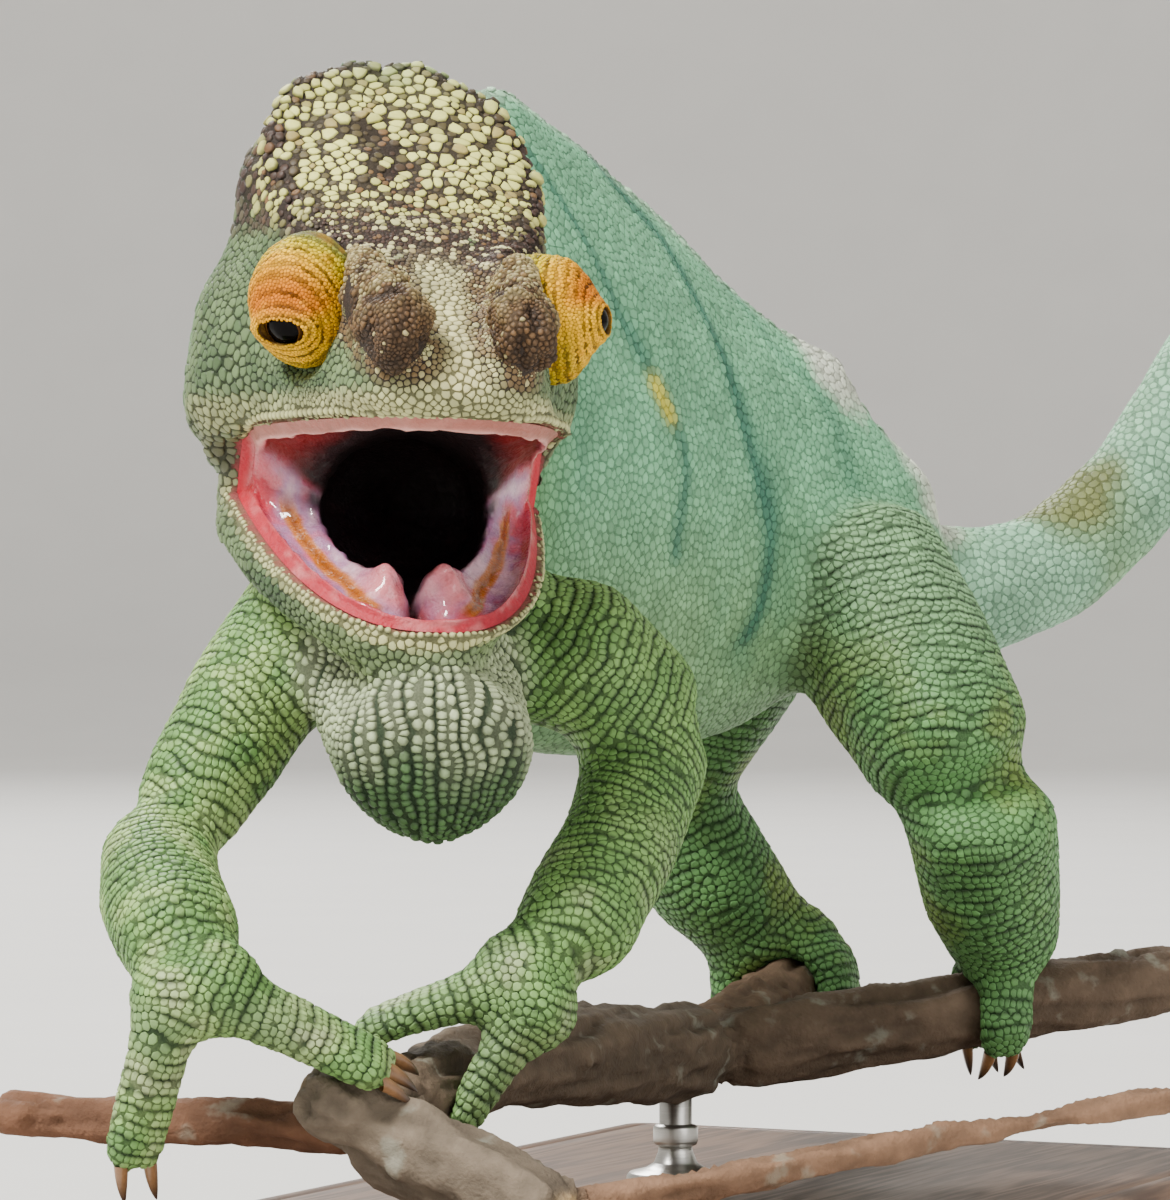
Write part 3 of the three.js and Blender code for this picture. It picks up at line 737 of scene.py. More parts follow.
@dataclass(frozen=True)
class PlinthFinish:
    """Oiled dark hardwood with its grain along the base."""

    name: str = "oiled_hardwood"

    def material(self) -> Material:
        """Makes it."""
        finish = Finish(self.name, Coat_Roughness=0.25, Specular_IOR_Level=0.4)
        drawn = finish.stretched((1.0, 0.07, 1.0))
        rings = finish.cloud(9.0, 4, drawn)
        pores = finish.cloud(0.9, 2, drawn)
        stripes = (rings * 7.0 * FULL_TURN).sine()
        grain = (0.5 + 0.22 * stripes + 0.6 * (pores - 0.5)).clamped()
        browns = ((0.030, 0.014, 0.008), (0.085, 0.040, 0.020), (0.17, 0.088, 0.045))
        stops = list(zip((0.0, 0.5, 1.0), browns))
        colour = finish.node("ShaderNodeValToRGB", {"stops": stops}, {0: grain}, "Color")
        bumps = finish.raised(grain, 0.05)
        return finish.feed(Base_Color=colour, Roughness=0.5 - 0.15 * grain, Normal=bumps)


@dataclass(frozen=True)
class RodFinish:
    """Brushed steel, its brush marks running round the rod."""

    name: str = "brushed_steel"

    def material(self) -> Material:
        """Makes it."""
        finish = Finish(self.name, Metallic=1.0)
        marks = finish.cloud(1.2, 3, finish.stretched((0.15, 0.15, 6.0)))
        colour = finish.blended((0.42, 0.41, 0.39), (0.66, 0.65, 0.62), marks)
        bumps = finish.raised(marks, 0.03)
        return finish.feed(Base_Color=colour, Roughness=0.22 + 0.2 * marks, Normal=bumps)


@dataclass(frozen=True)
class EyeFinish:
    """A wet eyeball under a clear film."""

    name: str = "eyeball"

    def material(self) -> Material:
        """Makes it."""
        finish = Finish(
            self.name, Coat_Weight=0.12, Coat_Roughness=0.02, Coat_IOR=1.35, Specular_IOR_Level=0.03
        )
        hue = finish.mapped("hue")
        flecks = finish.cloud(0.35, 4)
        colour = finish.scaled(hue, 0.6 + 0.8 * flecks)
        return finish.feed(Base_Color=colour, Roughness=0.1 + 0.1 * flecks)


@dataclass(frozen=True)
class ClawFinish:
    """Horn that darkens towards the point."""

    name: str = "claw_horn"

    def material(self) -> Material:
        """Makes it."""
        finish = Finish(self.name, Specular_IOR_Level=0.5, Coat_Roughness=0.2, Coat_Weight=0.3)
        tip = finish.mapped("tip", colour=False)
        streaks = finish.cloud(0.6, 3)
        colour = finish.blended((0.24, 0.12, 0.05), (0.04, 0.022, 0.015), tip.step(0.2, 0.9))
        colour = finish.scaled(colour, 0.7 + 0.6 * streaks)
        return finish.feed(Base_Color=colour, Roughness=0.28 + 0.2 * streaks)


@dataclass(frozen=True)
class FloorFinish:
    """Pale matt studio paper."""

    name: str = "studio_paper"

    def material(self) -> Material:
        """Makes it."""
        finish = Finish(self.name, Specular_IOR_Level=0.1)
        cloud = finish.cloud(60.0, 2)
        colour = finish.scaled((0.74, 0.73, 0.71), 0.97 + 0.06 * cloud)
        return finish.feed(Base_Color=colour, Roughness=0.9 + 0.05 * cloud)


# ---- the eyes' places ----


@dataclass(frozen=True)
class Eye:
    """Where one eye sits and looks, in the head's frame."""

    name: str
    side: int
    gaze: tuple[float, float, float]

    @property
    def middle(self) -> Array:
        """The middle of its turret."""
        return HEAD.outer((20.5 * self.side, 1, 16))

    def place(self) -> Place:
        """A frame at the turret's middle that looks out along its third axis."""
        look = unit(HEAD.turned(self.gaze))
        rise = HEAD.turned((0, 0, 1))
        rise = unit(rise - look * (rise @ look))
        return Place(self.middle, np.stack([np.cross(rise, look), rise, look]))


EYES = [Eye("right", -1, (-0.52, -0.62, -0.55)), Eye("left", 1, (0.9, -0.42, 0.02))]


# ---- the body's regions and markings ----


class Region(Enum):
    """Stretches of the hide that differ in scales and colour."""

    CASQUE = 0
    FACE = 1
    JAW = 2
    NECK = 3
    TRUNK = 4
    POUCH = 5
    TAIL = 6
    ARM = 7
    HAND = 8
    LEG = 9
    FOOT = 10


NODE_REGIONS: dict[str, Region] = {
    "casque": Region.CASQUE,
    "head": Region.FACE,
    "lower_jaw": Region.JAW,
    "neck": Region.NECK,
    "trunk": Region.TRUNK,
    "gular_pouch": Region.POUCH,
    "tail": Region.TAIL,
    "upper_arm": Region.ARM,
    "forearm": Region.ARM,
    "hand": Region.HAND,
    "thigh": Region.LEG,
    "shank": Region.LEG,
    "foot": Region.FOOT,
}


LIMBS = (Region.ARM, Region.HAND, Region.LEG, Region.FOOT)
ROWED = (*LIMBS, Region.POUCH)


def region_of(node: str) -> Optional[Region]:
    """The region of the hide that a node of flesh gives, or nothing for any other node."""
    return next((region for stem, region in NODE_REGIONS.items() if node.startswith(stem)), None)


FLESH = [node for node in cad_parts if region_of(node) is not None]
HORNS = ("horn_right", "horn_left")


def crease_of(row: Array) -> Array:
    """How near spots of some rows are to the crease that follows every second row, 0 to 1."""
    pair = (row - 0.5) / 2
    return step(np.abs(pair - np.round(pair)) * 2, 0.42, 0.08)


@dataclass
class Lie:
    """What is known of each spot of the hide besides where it is.

    share holds how much each spot belongs to each region, node the number of the flesh node it lies
    on, towards the way that scales point, row the number of the row of scales it lies in, counted
    in fractions from one row's middle to the next, hold how closely scales keep to their rows and
    oral how near the mouth's lining it is.
    """

    share: Array
    node: Array
    towards: Array
    row: Array
    hold: Array
    oral: Array

    def of(self, *regions: Region) -> Array:
        """How much each spot belongs to some regions."""
        return sum(self.share[:, region.value] for region in regions)

    def at(self, rows: Array) -> "Lie":
        """The same for some of the spots."""
        return Lie(*(known[rows] for known in vars(self).values()))

    def crease(self) -> Array:
        """How deep in a crease each spot is, 0 to 1, where scales stand in rows."""
        return crease_of(self.row) * self.hold


CREST_LINE = (
    (8, -2, 20.4), (15.6, 6.5, 26), (20.2, 16.5, 32), (21.8, 28, 40.5), (19.6, 37.5, 49),
    (12.6, 44.5, 55.5), (0, 49.3, 59),
)
HORN_LINE = ((13.6, 5, 23), (12.2, -6, 18.6), (10, -26, 11))


def head_parts(points: Array) -> dict[str, Array]:
    """How much each spot belongs to the landmarks of the face.

    Args:
        points: Spots in millimetres.

    Returns:
        Shares from 0 to 1 by landmark.
    """
    x, y, z = HEAD.inner(points).T
    _, jaw_y, jaw_z = JAW.inner(points).T
    side = np.abs(x)
    folded = np.stack([side, y, z], axis=1)
    crest_gap, crest_along = line_distance(folded, CREST_LINE)
    horn_gap, _ = line_distance(folded, HORN_LINE)
    front = step(y - 0.62 * (z - 20), 26, 14)
    upper_lip = step(z, 3.6, 0.6) * step(z, -4.5, -2.4) * step(y, 42, 34)
    return {
        "crest": hump(crest_gap, 3.2),
        "crest_along": crest_along,
        "temple": step(side, 17.5, 20.5) * step(z, 27.5, 32) * step(y, 50, 44) * step(y, 4, 10),
        "brow": hump(z - 27 - 0.1 * side, 6.5) * step(y, 18, 8) * step(side, 26, 20),
        "crown": step(z, 28, 35) * front,
        "patch": hump(np.hypot(x + 3, (z - 40) * 0.75), 7.5) * front,
        "saddle": hump(x / 7.2, 1) * step(z, 29, 21) * step(z, -3, 2),
        "cheek": step(side, 19, 26) * step(z, 24, 14),
        "upper_lip": upper_lip * (1 - 0.5 * step(side, 14, 24)),
        "lower_lip": step(jaw_z, -2.6, -1.2) * step(jaw_y, 8, -2),
        "rictus": hump(np.hypot(y - 42, z + 8), 8) * step(side, 18, 24),
        "horny": step(horn_gap, 10.5, 7.0),
    }


@dataclass(frozen=True)
class Markings:
    """The colours of the hide, the same on the skin and on the scales."""

    crown: Array = shade(220, 220, 124)
    crown_dark: Array = shade(84, 60, 54)
    brow: Array = shade(138, 102, 64)
    saddle: Array = shade(220, 214, 154)
    cheek: Array = shade(104, 126, 84)
    cheek_dark: Array = shade(44, 74, 44)
    lip: Array = shade(188, 188, 132)
    chin: Array = shade(122, 142, 94)
    pouch: Array = shade(178, 192, 150)
    pouch_dark: Array = shade(40, 88, 36)
    arm: Array = shade(112, 158, 84)
    arm_light: Array = shade(152, 186, 108)
    # painted shade for the creases between rows of scales, not a marking
    arm_dark: Array = shade(26, 56, 28)
    inner: Array = shade(158, 148, 134)
    flank: Array = shade(122, 190, 146)
    flank_low: Array = shade(126, 168, 120)
    neck: Array = shade(100, 154, 100)
    teal: Array = shade(34, 98, 84)
    yellow: Array = shade(222, 214, 70)
    bone: Array = shade(220, 224, 206)
    tail: Array = shade(140, 190, 156)
    olive: Array = shade(110, 112, 58)
    leg: Array = shade(96, 146, 84)
    leg_yellow: Array = shade(132, 150, 64)
    rictus: Array = shade(120, 96, 76)

    BANDS = (
        ([(70, 86), (80, 66), (87, 48), (91, 34), (93, 8)], 1.7, 0.7),
        ([(108, 80), (116, 60), (121, 36), (122, -6)], 2.8, 0.8),
        ([(140, 60), (147, 40), (149, 8)], 3.0, 0.3),
        ([(58, 62), (64, 44), (67, 20)], 2.2, 0.25),
    )

    def face(self, points: Array) -> Array:
        """Colours of the head above the jaw."""
        part = head_parts(points)
        patchy = layered(points, 5, 11)
        fleck = noise(points, 2.2, 12)
        return painted(
            self.cheek,
            (self.cheek_dark, 0.5 * step(patchy, -0.2, 0.7)),
            (self.flank * 0.8, step(HEAD.inner(points)[:, 1], 38, 52)),
            (self.crown, part["crown"]),
            (self.brow, 0.9 * part["brow"] * step(fleck, -0.9, 0.1)),
            (self.crown_dark, 0.9 * part["crest"] * step(patchy, -0.9, 0.0)),
            (self.crown_dark, 0.8 * part["temple"] * step(fleck, -0.9, 0.3)),
            (self.crown_dark, 0.9 * part["patch"] * step(fleck, -0.9, 0.3)),
            (self.saddle, part["saddle"]),
            (self.brow * 0.62, 0.9 * part["horny"] * step(fleck, -1.0, 0.1)),
            (self.lip, part["upper_lip"]),
            (self.rictus, 0.5 * part["rictus"]),
        )

    def chin_and_lip(self, points: Array) -> Array:
        """Colours of the lower jaw."""
        part = head_parts(points)
        side = step(np.abs(JAW.inner(points)[:, 0]), 11, 19)
        patchy = step(layered(points, 5, 13), -0.3, 0.6)
        return painted(
            self.chin,
            (self.cheek, side),
            (self.cheek_dark, (0.3 + 0.35 * side) * patchy),
            (self.lip, part["lower_lip"]),
            (self.rictus, 0.4 * part["rictus"]),
        )

    def body(self, points: Array) -> Array:
        """Colours of the neck, trunk and pelvis, banded obliquely down each flank."""
        across, back, up = STANCE.inner(points).T
        spot = np.stack([back + 4 * noise(points, 14, 3), up], axis=1)
        coats = [
            (self.flank_low, step(up, 30, -12)),
            (self.neck, step(back, 70, 52) * step(up, 66, 40)),
            (self.flank * 0.66, 0.35 * step(layered(points, 11, 4), 0.1, 0.9)),
        ]
        for line, width, depth in self.BANDS:
            coats.append((self.teal, depth * hump(line_distance(spot, line)[0], width)))
        gap, _ = line_distance(np.stack([back, up], axis=1), [(89, 38), (90.5, 33)])
        coats.append((self.yellow, hump(gap, 2.0) * step(across - 0.3 * back, -40, -25)))
        ridge = step(up - np.interp(back, SPINE_BACK, [46, 80, 86, 78, 52, 20]), 0, 5)
        return painted(self.flank, *coats, (self.bone, 0.35 * ridge))

    def colours(self, points: Array, lie: Lie) -> Array:
        """The hide's colour at each spot.

        Args:
            points: The spots, in millimetres.
            lie: What is known of them.

        Returns:
            One colour for each.
        """
        fleck = layered(points, 6, 21)
        across, _, up = STANCE.inner(points).T
        arm = painted(
            self.arm,
            (self.arm_light, (0.3 + 0.6 * step(across, -20, -34)) * step(fleck, -0.6, 0.5)),
            (self.arm * 0.7, 0.5 * step(layered(points, 9, 24), 0.1, 0.9)),
            (self.inner, 0.35 * step(fleck, 0.2, 0.9) * step(up, -20, -60)),
        )
        hand = mixed(arm, self.inner, 0.2 * step(noise(points, 9, 23), 0.0, 0.8))
        yellowish = (self.leg_yellow, 0.6 * step(layered(points, 12, 22), -0.2, 0.9))
        leg = painted(self.leg, yellowish, (self.flank_low, step(up, -26, 8)))
        stain = gaps_to(points, STANCE.outer((96, 200, 18))) + 3 * noise(points, 7, 27)
        greener = (self.flank_low, 0.7 * step(noise(points, 20, 26), -0.1, 0.5))
        tail = painted(self.tail, greener, (self.olive, 0.9 * step(stain, 17, 9)))
        low = 0.9 * step(up + 4 * noise(points, 6, 28), -17, -32)
        pouch = mixed(self.pouch, self.pouch_dark, low)
        face, chin, body = self.face(points), self.chin_and_lip(points), self.body(points)
        layers = (face, face, chin, body, body, pouch, tail, arm, hand, leg, leg)
        colour = sum(layer * lie.of(region)[:, None] for region, layer in zip(Region, layers))
        # the hip knobs painted near white: partly their own pale hide, partly a painted highlight on the
        # bulge
        for knob in PELVIS_KNOBS:
            gap = gaps_to(points, STANCE.outer(knob)) + 2 * noise(points, 5, 29)
            colour = mixed(colour, self.bone, 0.95 * step(gap, 15, 7))
        return colour * (0.92 + 0.14 * fleck)[:, None]


PELVIS_KNOBS = [(45, 162, 43), (64, 176, 21)]
SPINE_BACK = (43, 66, 82, 103, 147, 181)
TAILWARD = STANCE.turned((0.35, 0.9, -0.2))


# ---- mouth ----


@dataclass
class Mouth:
    """The wet lining of the gaping mouth: one funnel from the lips to the dark of the throat.

    Each of its rings is worked out in the head's frame from the ring of the lips, the ring of the
    crest where the throat begins and the ring of the throat itself. STOPS lists them from the lips
    in. UPPER, LOWER, LOBES, NOTCH and CORNER say how far each is lifted off that course above and
    below, over the two lobes, in the notch between them and at the corners of the mouth.
    """

    columns: int = 184
    fine: int = 7
    half_width: float = 24.6
    shift: float = 2.2
    hide_gap: float = 0.45
    plug_depth: float = 3.0
    lip_radius: float = 2.0

    STOPS = (
        ("lip", -1.0), ("lip", 0.0), ("crest", 0.06), ("crest", 0.16), ("crest", 0.34), ("crest", 0.56),
        ("crest", 0.8), ("crest", 1.0), ("throat", 0.3), ("throat", 0.7), ("throat", 1.0), ("end", 1.0),
    )
    UPPER = (0, 0, 0.9, -0.5, -0.8, -0.8, -0.5, 0, 0, 0, 0, 0)
    LOWER = (0, 0, 0.9, -0.7, -1.5, -1.2, 0.2, 0.9, -1.6, -1.0, 0, 0)
    LOBES = (0, 0, 0, 0.2, 1.0, 2.3, 3.4, 2.9, 0.6, 0, 0, 0)
    NOTCH = (0, 0, 0, 0.5, 2.2, 3.6, 4.4, 4.6, 2.4, 0, 0, 0)
    CORNER = (0, 0, 0.9, -0.6, 0.8, -0.6, 0.3, 0, 0, 0, 0, 0)

    def __post_init__(self) -> None:
        """Lays the funnel."""
        turn = round_steps(self.columns, 0.5)
        self.c, self.s = np.cos(turn), np.sin(turn)
        self.upper, self.lower = step(self.s, 0.02, 0.22), step(-self.s, 0.02, 0.22)
        self.margin, self.away = self._margin()
        self.rows = (len(self.STOPS) - 1) * self.fine + 1
        rings = np.stack([self._ring(row) for row in range(len(self.STOPS))])
        self.surface = sheet_of_rings(self._threaded(rings))
        self._crease()

    def _margin(self) -> tuple[Array, Array]:
        """The inner edge of the lips, and the way out of the mouth that each lip turns from."""
        c, s = self.c, self.s
        x = self.half_width * np.sign(c) * np.abs(c) ** 0.75 + self.shift
        past = np.clip((np.abs(s) - 0.12) / 0.88, 0, 1) ** 1.34
        upper = np.stack([x, 36 - 56 * past, -2.7 - 0.9 * (1 - past)], axis=1)
        lower = np.stack([x, -9 - 46 * past, np.full_like(x, 0.8)], axis=1)
        lower = HEAD.inner(JAW.outer(lower))
        down = HEAD.turned_back(JAW.turned((0, 0, -1)))
        return mixed(lower, upper, step(s, -0.12, 0.12)), mixed(down, (0, 0, 1), step(s, -0.1, 0.1))

    def _ring(self, row: int) -> Array:
        """One of the rings that the funnel is threaded through."""
        c, s = self.c, self.s
        stage, share = self.STOPS[row]
        back = 30 - 18 * np.abs(s) ** 1.5
        crest = np.stack([0.1 * back + 14.2 * c, back, -14.7 + 13.6 * s], axis=1)
        throat = np.stack([5 + 12.5 * c, 46 + 0 * c, -14.5 + 11 * s], axis=1)
        end = np.array([5.0, 58.0, -15.0]) + 0.004 * (throat - [5.0, 46.0, -14.5])
        pairs = {"lip": (self.margin, crest), "crest": (self.margin, crest), "throat": (crest, throat)}
        first, second = pairs.get(stage, (throat, end))
        if share < 0:
            return self.margin + 1.2 * self.outward() + 1.1 * self.away
        ring = first + share * (second - first)
        lobes = hump(np.abs(c) - 0.3, 0.17) * self.lower
        notch = hump(c, 0.085) * self.lower
        lift = self.upper * self.UPPER[row] + self.lower * self.LOWER[row]
        lift += lobes * self.LOBES[row] - notch * self.NOTCH[row]
        corner = np.clip(1 - self.upper - self.lower, 0, 1) * self.CORNER[row]
        return ring - self.away * lift[:, None] - np.outer(corner * np.sign(c), [1.0, 0, 0])

    def outward(self) -> Array:
        """The level way out from the middle of the mouth at each column."""
        way = self.margin - np.array([self.shift, 14.0, 0.0])
        way[:, 2] = 0
        return unit(way)

    def _threaded(self, rings: Array) -> Array:
        """Fine rings on smooth lines through the given ones, in millimetres of the model."""
        padded = np.concatenate([2 * rings[:1] - rings[1:2], rings, 2 * rings[-1:] - rings[-2:-1]])
        made = []
        for row in range(len(rings) - 1):
            a, b, c, d = padded[row : row + 4]
            for k in range(self.fine):
                t = k / self.fine
                bend = (2 * a - 5 * b + 4 * c - d) * t**2 + (3 * b - a - 3 * c + d) * t**3
                made.append(0.5 * (2 * b + (c - a) * t + bend))
        made.append(rings[-1])
        return HEAD.outer(np.stack(made))

    def bag(self) -> Surface:
        """The room that the flesh leaves free: behind the lining, and wide open before the lips."""
        inner = self.surface.grown(-self.hide_gap).points.reshape(self.rows, self.columns, 3)
        front = self.outward() * np.array([1.0, 1.0, 0])
        mouth = self.margin + 16 * front - self.away * 5
        middle = mouth.mean(axis=0)
        rings = [middle + (mouth - middle) * 0.05, middle + (mouth - middle) * 0.5, mouth]
        rings.append(self.margin + 5 * front - self.away * 1.2)
        rings = [HEAD.outer(ring) for ring in rings] + list(inner[self.fine :])
        return closed_up(np.stack(rings))

    def plug(self) -> Surface:
        """Flesh that backs the lining all over."""
        start = 3 * self.fine
        rings = self.surface.grown(-self.plug_depth).points.reshape(self.rows, self.columns, 3)[start:]
        middle = rings[0].mean(axis=0)
        return closed_up(np.stack([middle + (rings[0] - middle) * 0.05, *rings]))

    def lips(self) -> Surface:
        """A roll of flesh round the mouth that the lips are cut from."""
        middle = HEAD.outer(self.margin + 1.3 * self.outward() + 1.7 * self.away)
        out, up = HEAD.turned(self.outward()), HEAD.turned(self.away)
        radius = self.lip_radius
        rings = [middle + radius * (math.cos(t) * out + math.sin(t) * up) for t in round_steps(12)]
        surface = sheet_of_rings(np.stack([*rings, rings[0]]))
        count = len(rings) * self.columns
        surface.faces = surface.faces % count
        surface.points = surface.points[:count]
        return facing_out(surface)

    def stage(self) -> Array:
        """How far in each point is, in rings."""
        return np.repeat(np.arange(self.rows), self.columns) / self.fine

    def _crease(self) -> None:
        """Wrinkles the lining."""
        corner = step(np.abs(np.tile(self.s, self.rows)), 0.7, 0.3) * step(self.stage(), 1.2, 2.4)
        corner *= step(self.stage(), 8, 6.5)
        points = mixed(self.surface.points, self.surface.evened(self.surface.points, 60), corner)
        inside = step(self.stage(), 1.0, 2.2)
        move = inside * (0.42 * layered(points, 4.5, 61) + 0.2 * layered(points, 1.6, 62))
        self.surface.points = points + self.surface.normals() * move[:, None]

    def colours(self) -> tuple[Array, Array]:
        """Colour and wetness of each point, with painted shade deep in the mouth."""
        stage = self.stage() + 0.25 * layered(self.surface.points, 6, 64)
        points = self.surface.points
        c, s, upper, lower = np.tile([self.c, self.s, self.upper, self.lower], self.rows)
        blotch = layered(points, 4.5, 63)
        lobes = hump(np.abs(c) - 0.3, 0.2) * lower
        corner = np.clip(1 - upper - lower, 0, 1)
        vein = step(layered(points, 3, 65), 0.1, 0.7)
        height = 4.9 + 0.5 * np.abs(s) - 1.5 * step(np.abs(c), 0.62, 0.26)
        stripe = np.abs(self.stage() - height + 0.12 * blotch)
        ochre = step(stripe, 0.66, 0.4) * lower * step(np.abs(c), 0.2, 0.3)
        # painted shade: near black deep in the throat, high on the palate, at the corners and in the notch
        # between the lobes
        dark = np.max(
            [
                step(stage, 6.55, 7.35),
                upper * step(stage, 4.3, 6.2),
                corner * step(stage, 5.4, 6.6) * 0.9,
                hump(c, 0.06) * lower * step(stage, 4.6, 5.6),
            ],
            axis=0,
        )
        colour = painted(
            paint(200, 84, 102),
            (paint(160, 124, 164), 0.85 * step(stage, 2.6, 3.6) * step(blotch, -0.6, 0.3)),
            # painted highlight: pale pink blotches that stand for the shine of the wet lining
            (paint(232, 196, 202), 0.6 * step(blotch, 0.25, 0.8) * step(stage, 2, 3)),
            (paint(172, 36, 48), 0.85 * step(stage, 2.2, 1.4)),
            (paint(206, 120, 122), 0.6 * vein * step(stage, 2.4, 1.4)),
            (paint(200, 24, 46), 0.8 * hump(s + 0.12, 0.2) * step(stage, 4.4, 2.6)),
            (paint(224, 130, 138), lobes * step(stage, 4.0, 5.0)),
            (paint(184, 104, 0), 0.95 * ochre),
            (paint(110, 52, 0), 0.7 * ochre * hump(stripe, 0.2)),
            # the palate's dark red, darkened by painted shade
            (paint(106, 6, 7), upper * step(stage, 2.2, 3.0)),
            (paint(232, 190, 176), 0.7 * upper * hump(stage - 1.9, 0.5)),
            # painted shade: the near black of the throat
            (paint(14, 5, 6), 0.985 * dark),
            (paint(170, 124, 108), 0.7 * upper * step(stage, 1.9, 1.2)),
        )
        return colour, 0.95 * step(stage, 1.0, 1.8) * (1 - 0.85 * dark) * (1 - upper)

    def build(self) -> None:
        """Makes the lining."""
        colour, wet = self.colours()
        piece = self.surface.to_object("mouth_lining", WetFinish().material(), hue=colour, wet=wet)
        dress(piece, "mouth_lining", "mouth_lining_upper", "mouth_lining_lower")


# ---- the skin ----


@dataclass
class Hide:
    """The one skin over all the flesh, with its folds, and what its scales are sown on."""

    mouth: Mouth
    voxel: float = 1.12
    closing: float = 0.25
    inset: float = 0.3
    rounds: int = 96
    blend_rounds: int = 10
    row_pitch: float = 1.35
    pouch_rows: int = 58
    horn_depth: float = 0.8
    lining_gap: float = 0.35
    lining_reach: float = 2.4
    markings: Markings = field(default_factory=Markings)

    def __post_init__(self) -> None:
        """Builds the surface, then its folds."""
        flesh = [node_surface(node, self.closing) for node in FLESH]
        whole = gathered(flesh)
        owners = np.concatenate([np.full(len(part.faces), k) for k, part in enumerate(flesh)])
        extra = [self.mouth.lips(), self.mouth.plug()]
        for node in HORNS:
            horn = node_surface(node, -self.horn_depth)
            for back, drop in ((0, 0), (3.2, 2.4), (7.0, 4.6)):
                extra.append(Surface(horn.points + HEAD.turned((0, back, -drop)), horn.faces))
        solid = gathered([Surface(part.points, part.triangles()) for part in [whole, *extra]])
        self.surface = solid.rebuilt(self.voxel, self.mouth.bag())
        self.axes = [self._axis(node) for node in FLESH]
        self.lie = self._lie(owners[nearest(whole.tree(), self.surface.points)[2]])
        self._soften()
        self._fold()
        self._clear_the_mouth()
        self.lie.row = self.rows_at(self.surface.points, self.lie.node, self.lie.of(Region.POUCH))
        self.lie.hold = self._hold()

    @staticmethod
    def _axis(node: str) -> tuple[Array, Array]:
        """The middle of a node and its long axis, down the limb or towards the tail."""
        points = node_surface(node).points
        axis = long_axis(points)
        way = np.array([0, 0, -1.0]) if region_of(node) in LIMBS else TAILWARD
        return points.mean(axis=0), axis if axis @ way > 0 else -axis

    def _lie(self, node: Array) -> Lie:
        """Works out each spot's regions and which way its scales lie."""
        count = len(self.surface.points)
        share = np.zeros((count, len(Region)))
        towards = np.zeros((count, 3))
        for index, name in enumerate(FLESH):
            own, region = node == index, region_of(name)
            share[own, region.value] = 1
            drawn = region in LIMBS or region is Region.TAIL
            towards[own] = self.axes[index][1] if drawn else TAILWARD
        edges = self.surface.edges()
        share = self.surface.evened(share, self.blend_rounds, edges)
        towards = unit(self.surface.evened(towards, self.blend_rounds, edges))
        return Lie(share, node, towards, *np.zeros((3, count)))

    def rows_at(self, points: Array, node: Array, pouch: Array) -> Array:
        """Which row of scales each point lies in: rings round limbs, a fan down the pouch."""
        middles = np.array([middle for middle, _ in self.axes])[node]
        axes = np.array([axis for _, axis in self.axes])[node]
        wander = 2.6 * noise(points, 15, 36) + 0.8 * noise(points, 5, 37) + 0.25 * noise(points, 2, 38)
        ring = (dot(points - middles, axes) + wander) / self.row_pitch
        x, y, _ = (STANCE.inner(points) - np.array([-25, 15, -12])).T
        turn = np.arctan2(x, -y) + 0.08 * noise(points, 6, 35) + 0.03 * noise(points, 2.4, 34)
        return np.where(pouch > 0.5, turn * self.pouch_rows / FULL_TURN, ring)

    def _hold(self) -> Array:
        """How closely scales keep to rows: not at all where a limb's end or the pouch's foot shows."""
        normals, lie = self.surface.normals(), self.lie
        axes = np.array([axis for _, axis in self.axes])[lie.node]
        limb = lie.of(*LIMBS) * step(np.abs(dot(normals, axes)), 0.85, 0.55)
        pouch = lie.of(Region.POUCH) * step(np.abs(normals[:, 2]), 0.96, 0.8)
        return self.surface.evened(limb + pouch, 2)

    def _soften(self) -> None:
        """Rounds the faceted solids off, least at the toes and lips."""
        stiff = {Region.FACE: 0.18, Region.CASQUE: 0.12, Region.JAW: 0.24, Region.HAND: 0.3}
        stiff |= {Region.FOOT: 0.3, Region.ARM: 0.75}
        strength = sum(self.lie.of(region) * stiff.get(region, 1.0) for region in Region)
        gap = np.full(len(strength), 9.0)
        near = self._near_mouth()
        gap[near] = nearest(self.mouth.surface.tree(), self.surface.points[near])[3]
        self.surface.softened(strength * step(gap, 0.8, 4.0), self.rounds)
        self.surface.softened(self.lie.of(Region.TAIL) ** 2, 2 * self.rounds)
        self.freedom = step(gap, 0.5, 2.5)
        self.surface.points -= self.surface.normals() * (self.inset * self.freedom)[:, None]

    def _near_mouth(self) -> Array:
        """Rows of the points that may touch the mouth's lining."""
        return np.flatnonzero(gaps_to(HEAD.inner(self.surface.points), np.array([0, 20, -12])) < 60)

    def _fold(self) -> None:
        """Moves the skin in and out for its folds, ridges and creases."""
        points, normals, lie = self.surface.points, self.surface.normals(), self.lie
        move = lie.of(Region.FACE, Region.CASQUE) * self._face_folds(points)
        move += lie.of(Region.JAW) * self._jaw_folds(points)
        move += lie.of(Region.POUCH) * self._pouch_folds(points)
        move += lie.of(*LIMBS) * self._limb_folds(points)
        move += lie.of(Region.TRUNK, Region.NECK) * self._body_folds(points)
        move += lie.of(Region.TAIL) * 0.3 * layered(points, 7, 41)
        self.surface.points = points + normals * (move * self.freedom)[:, None]

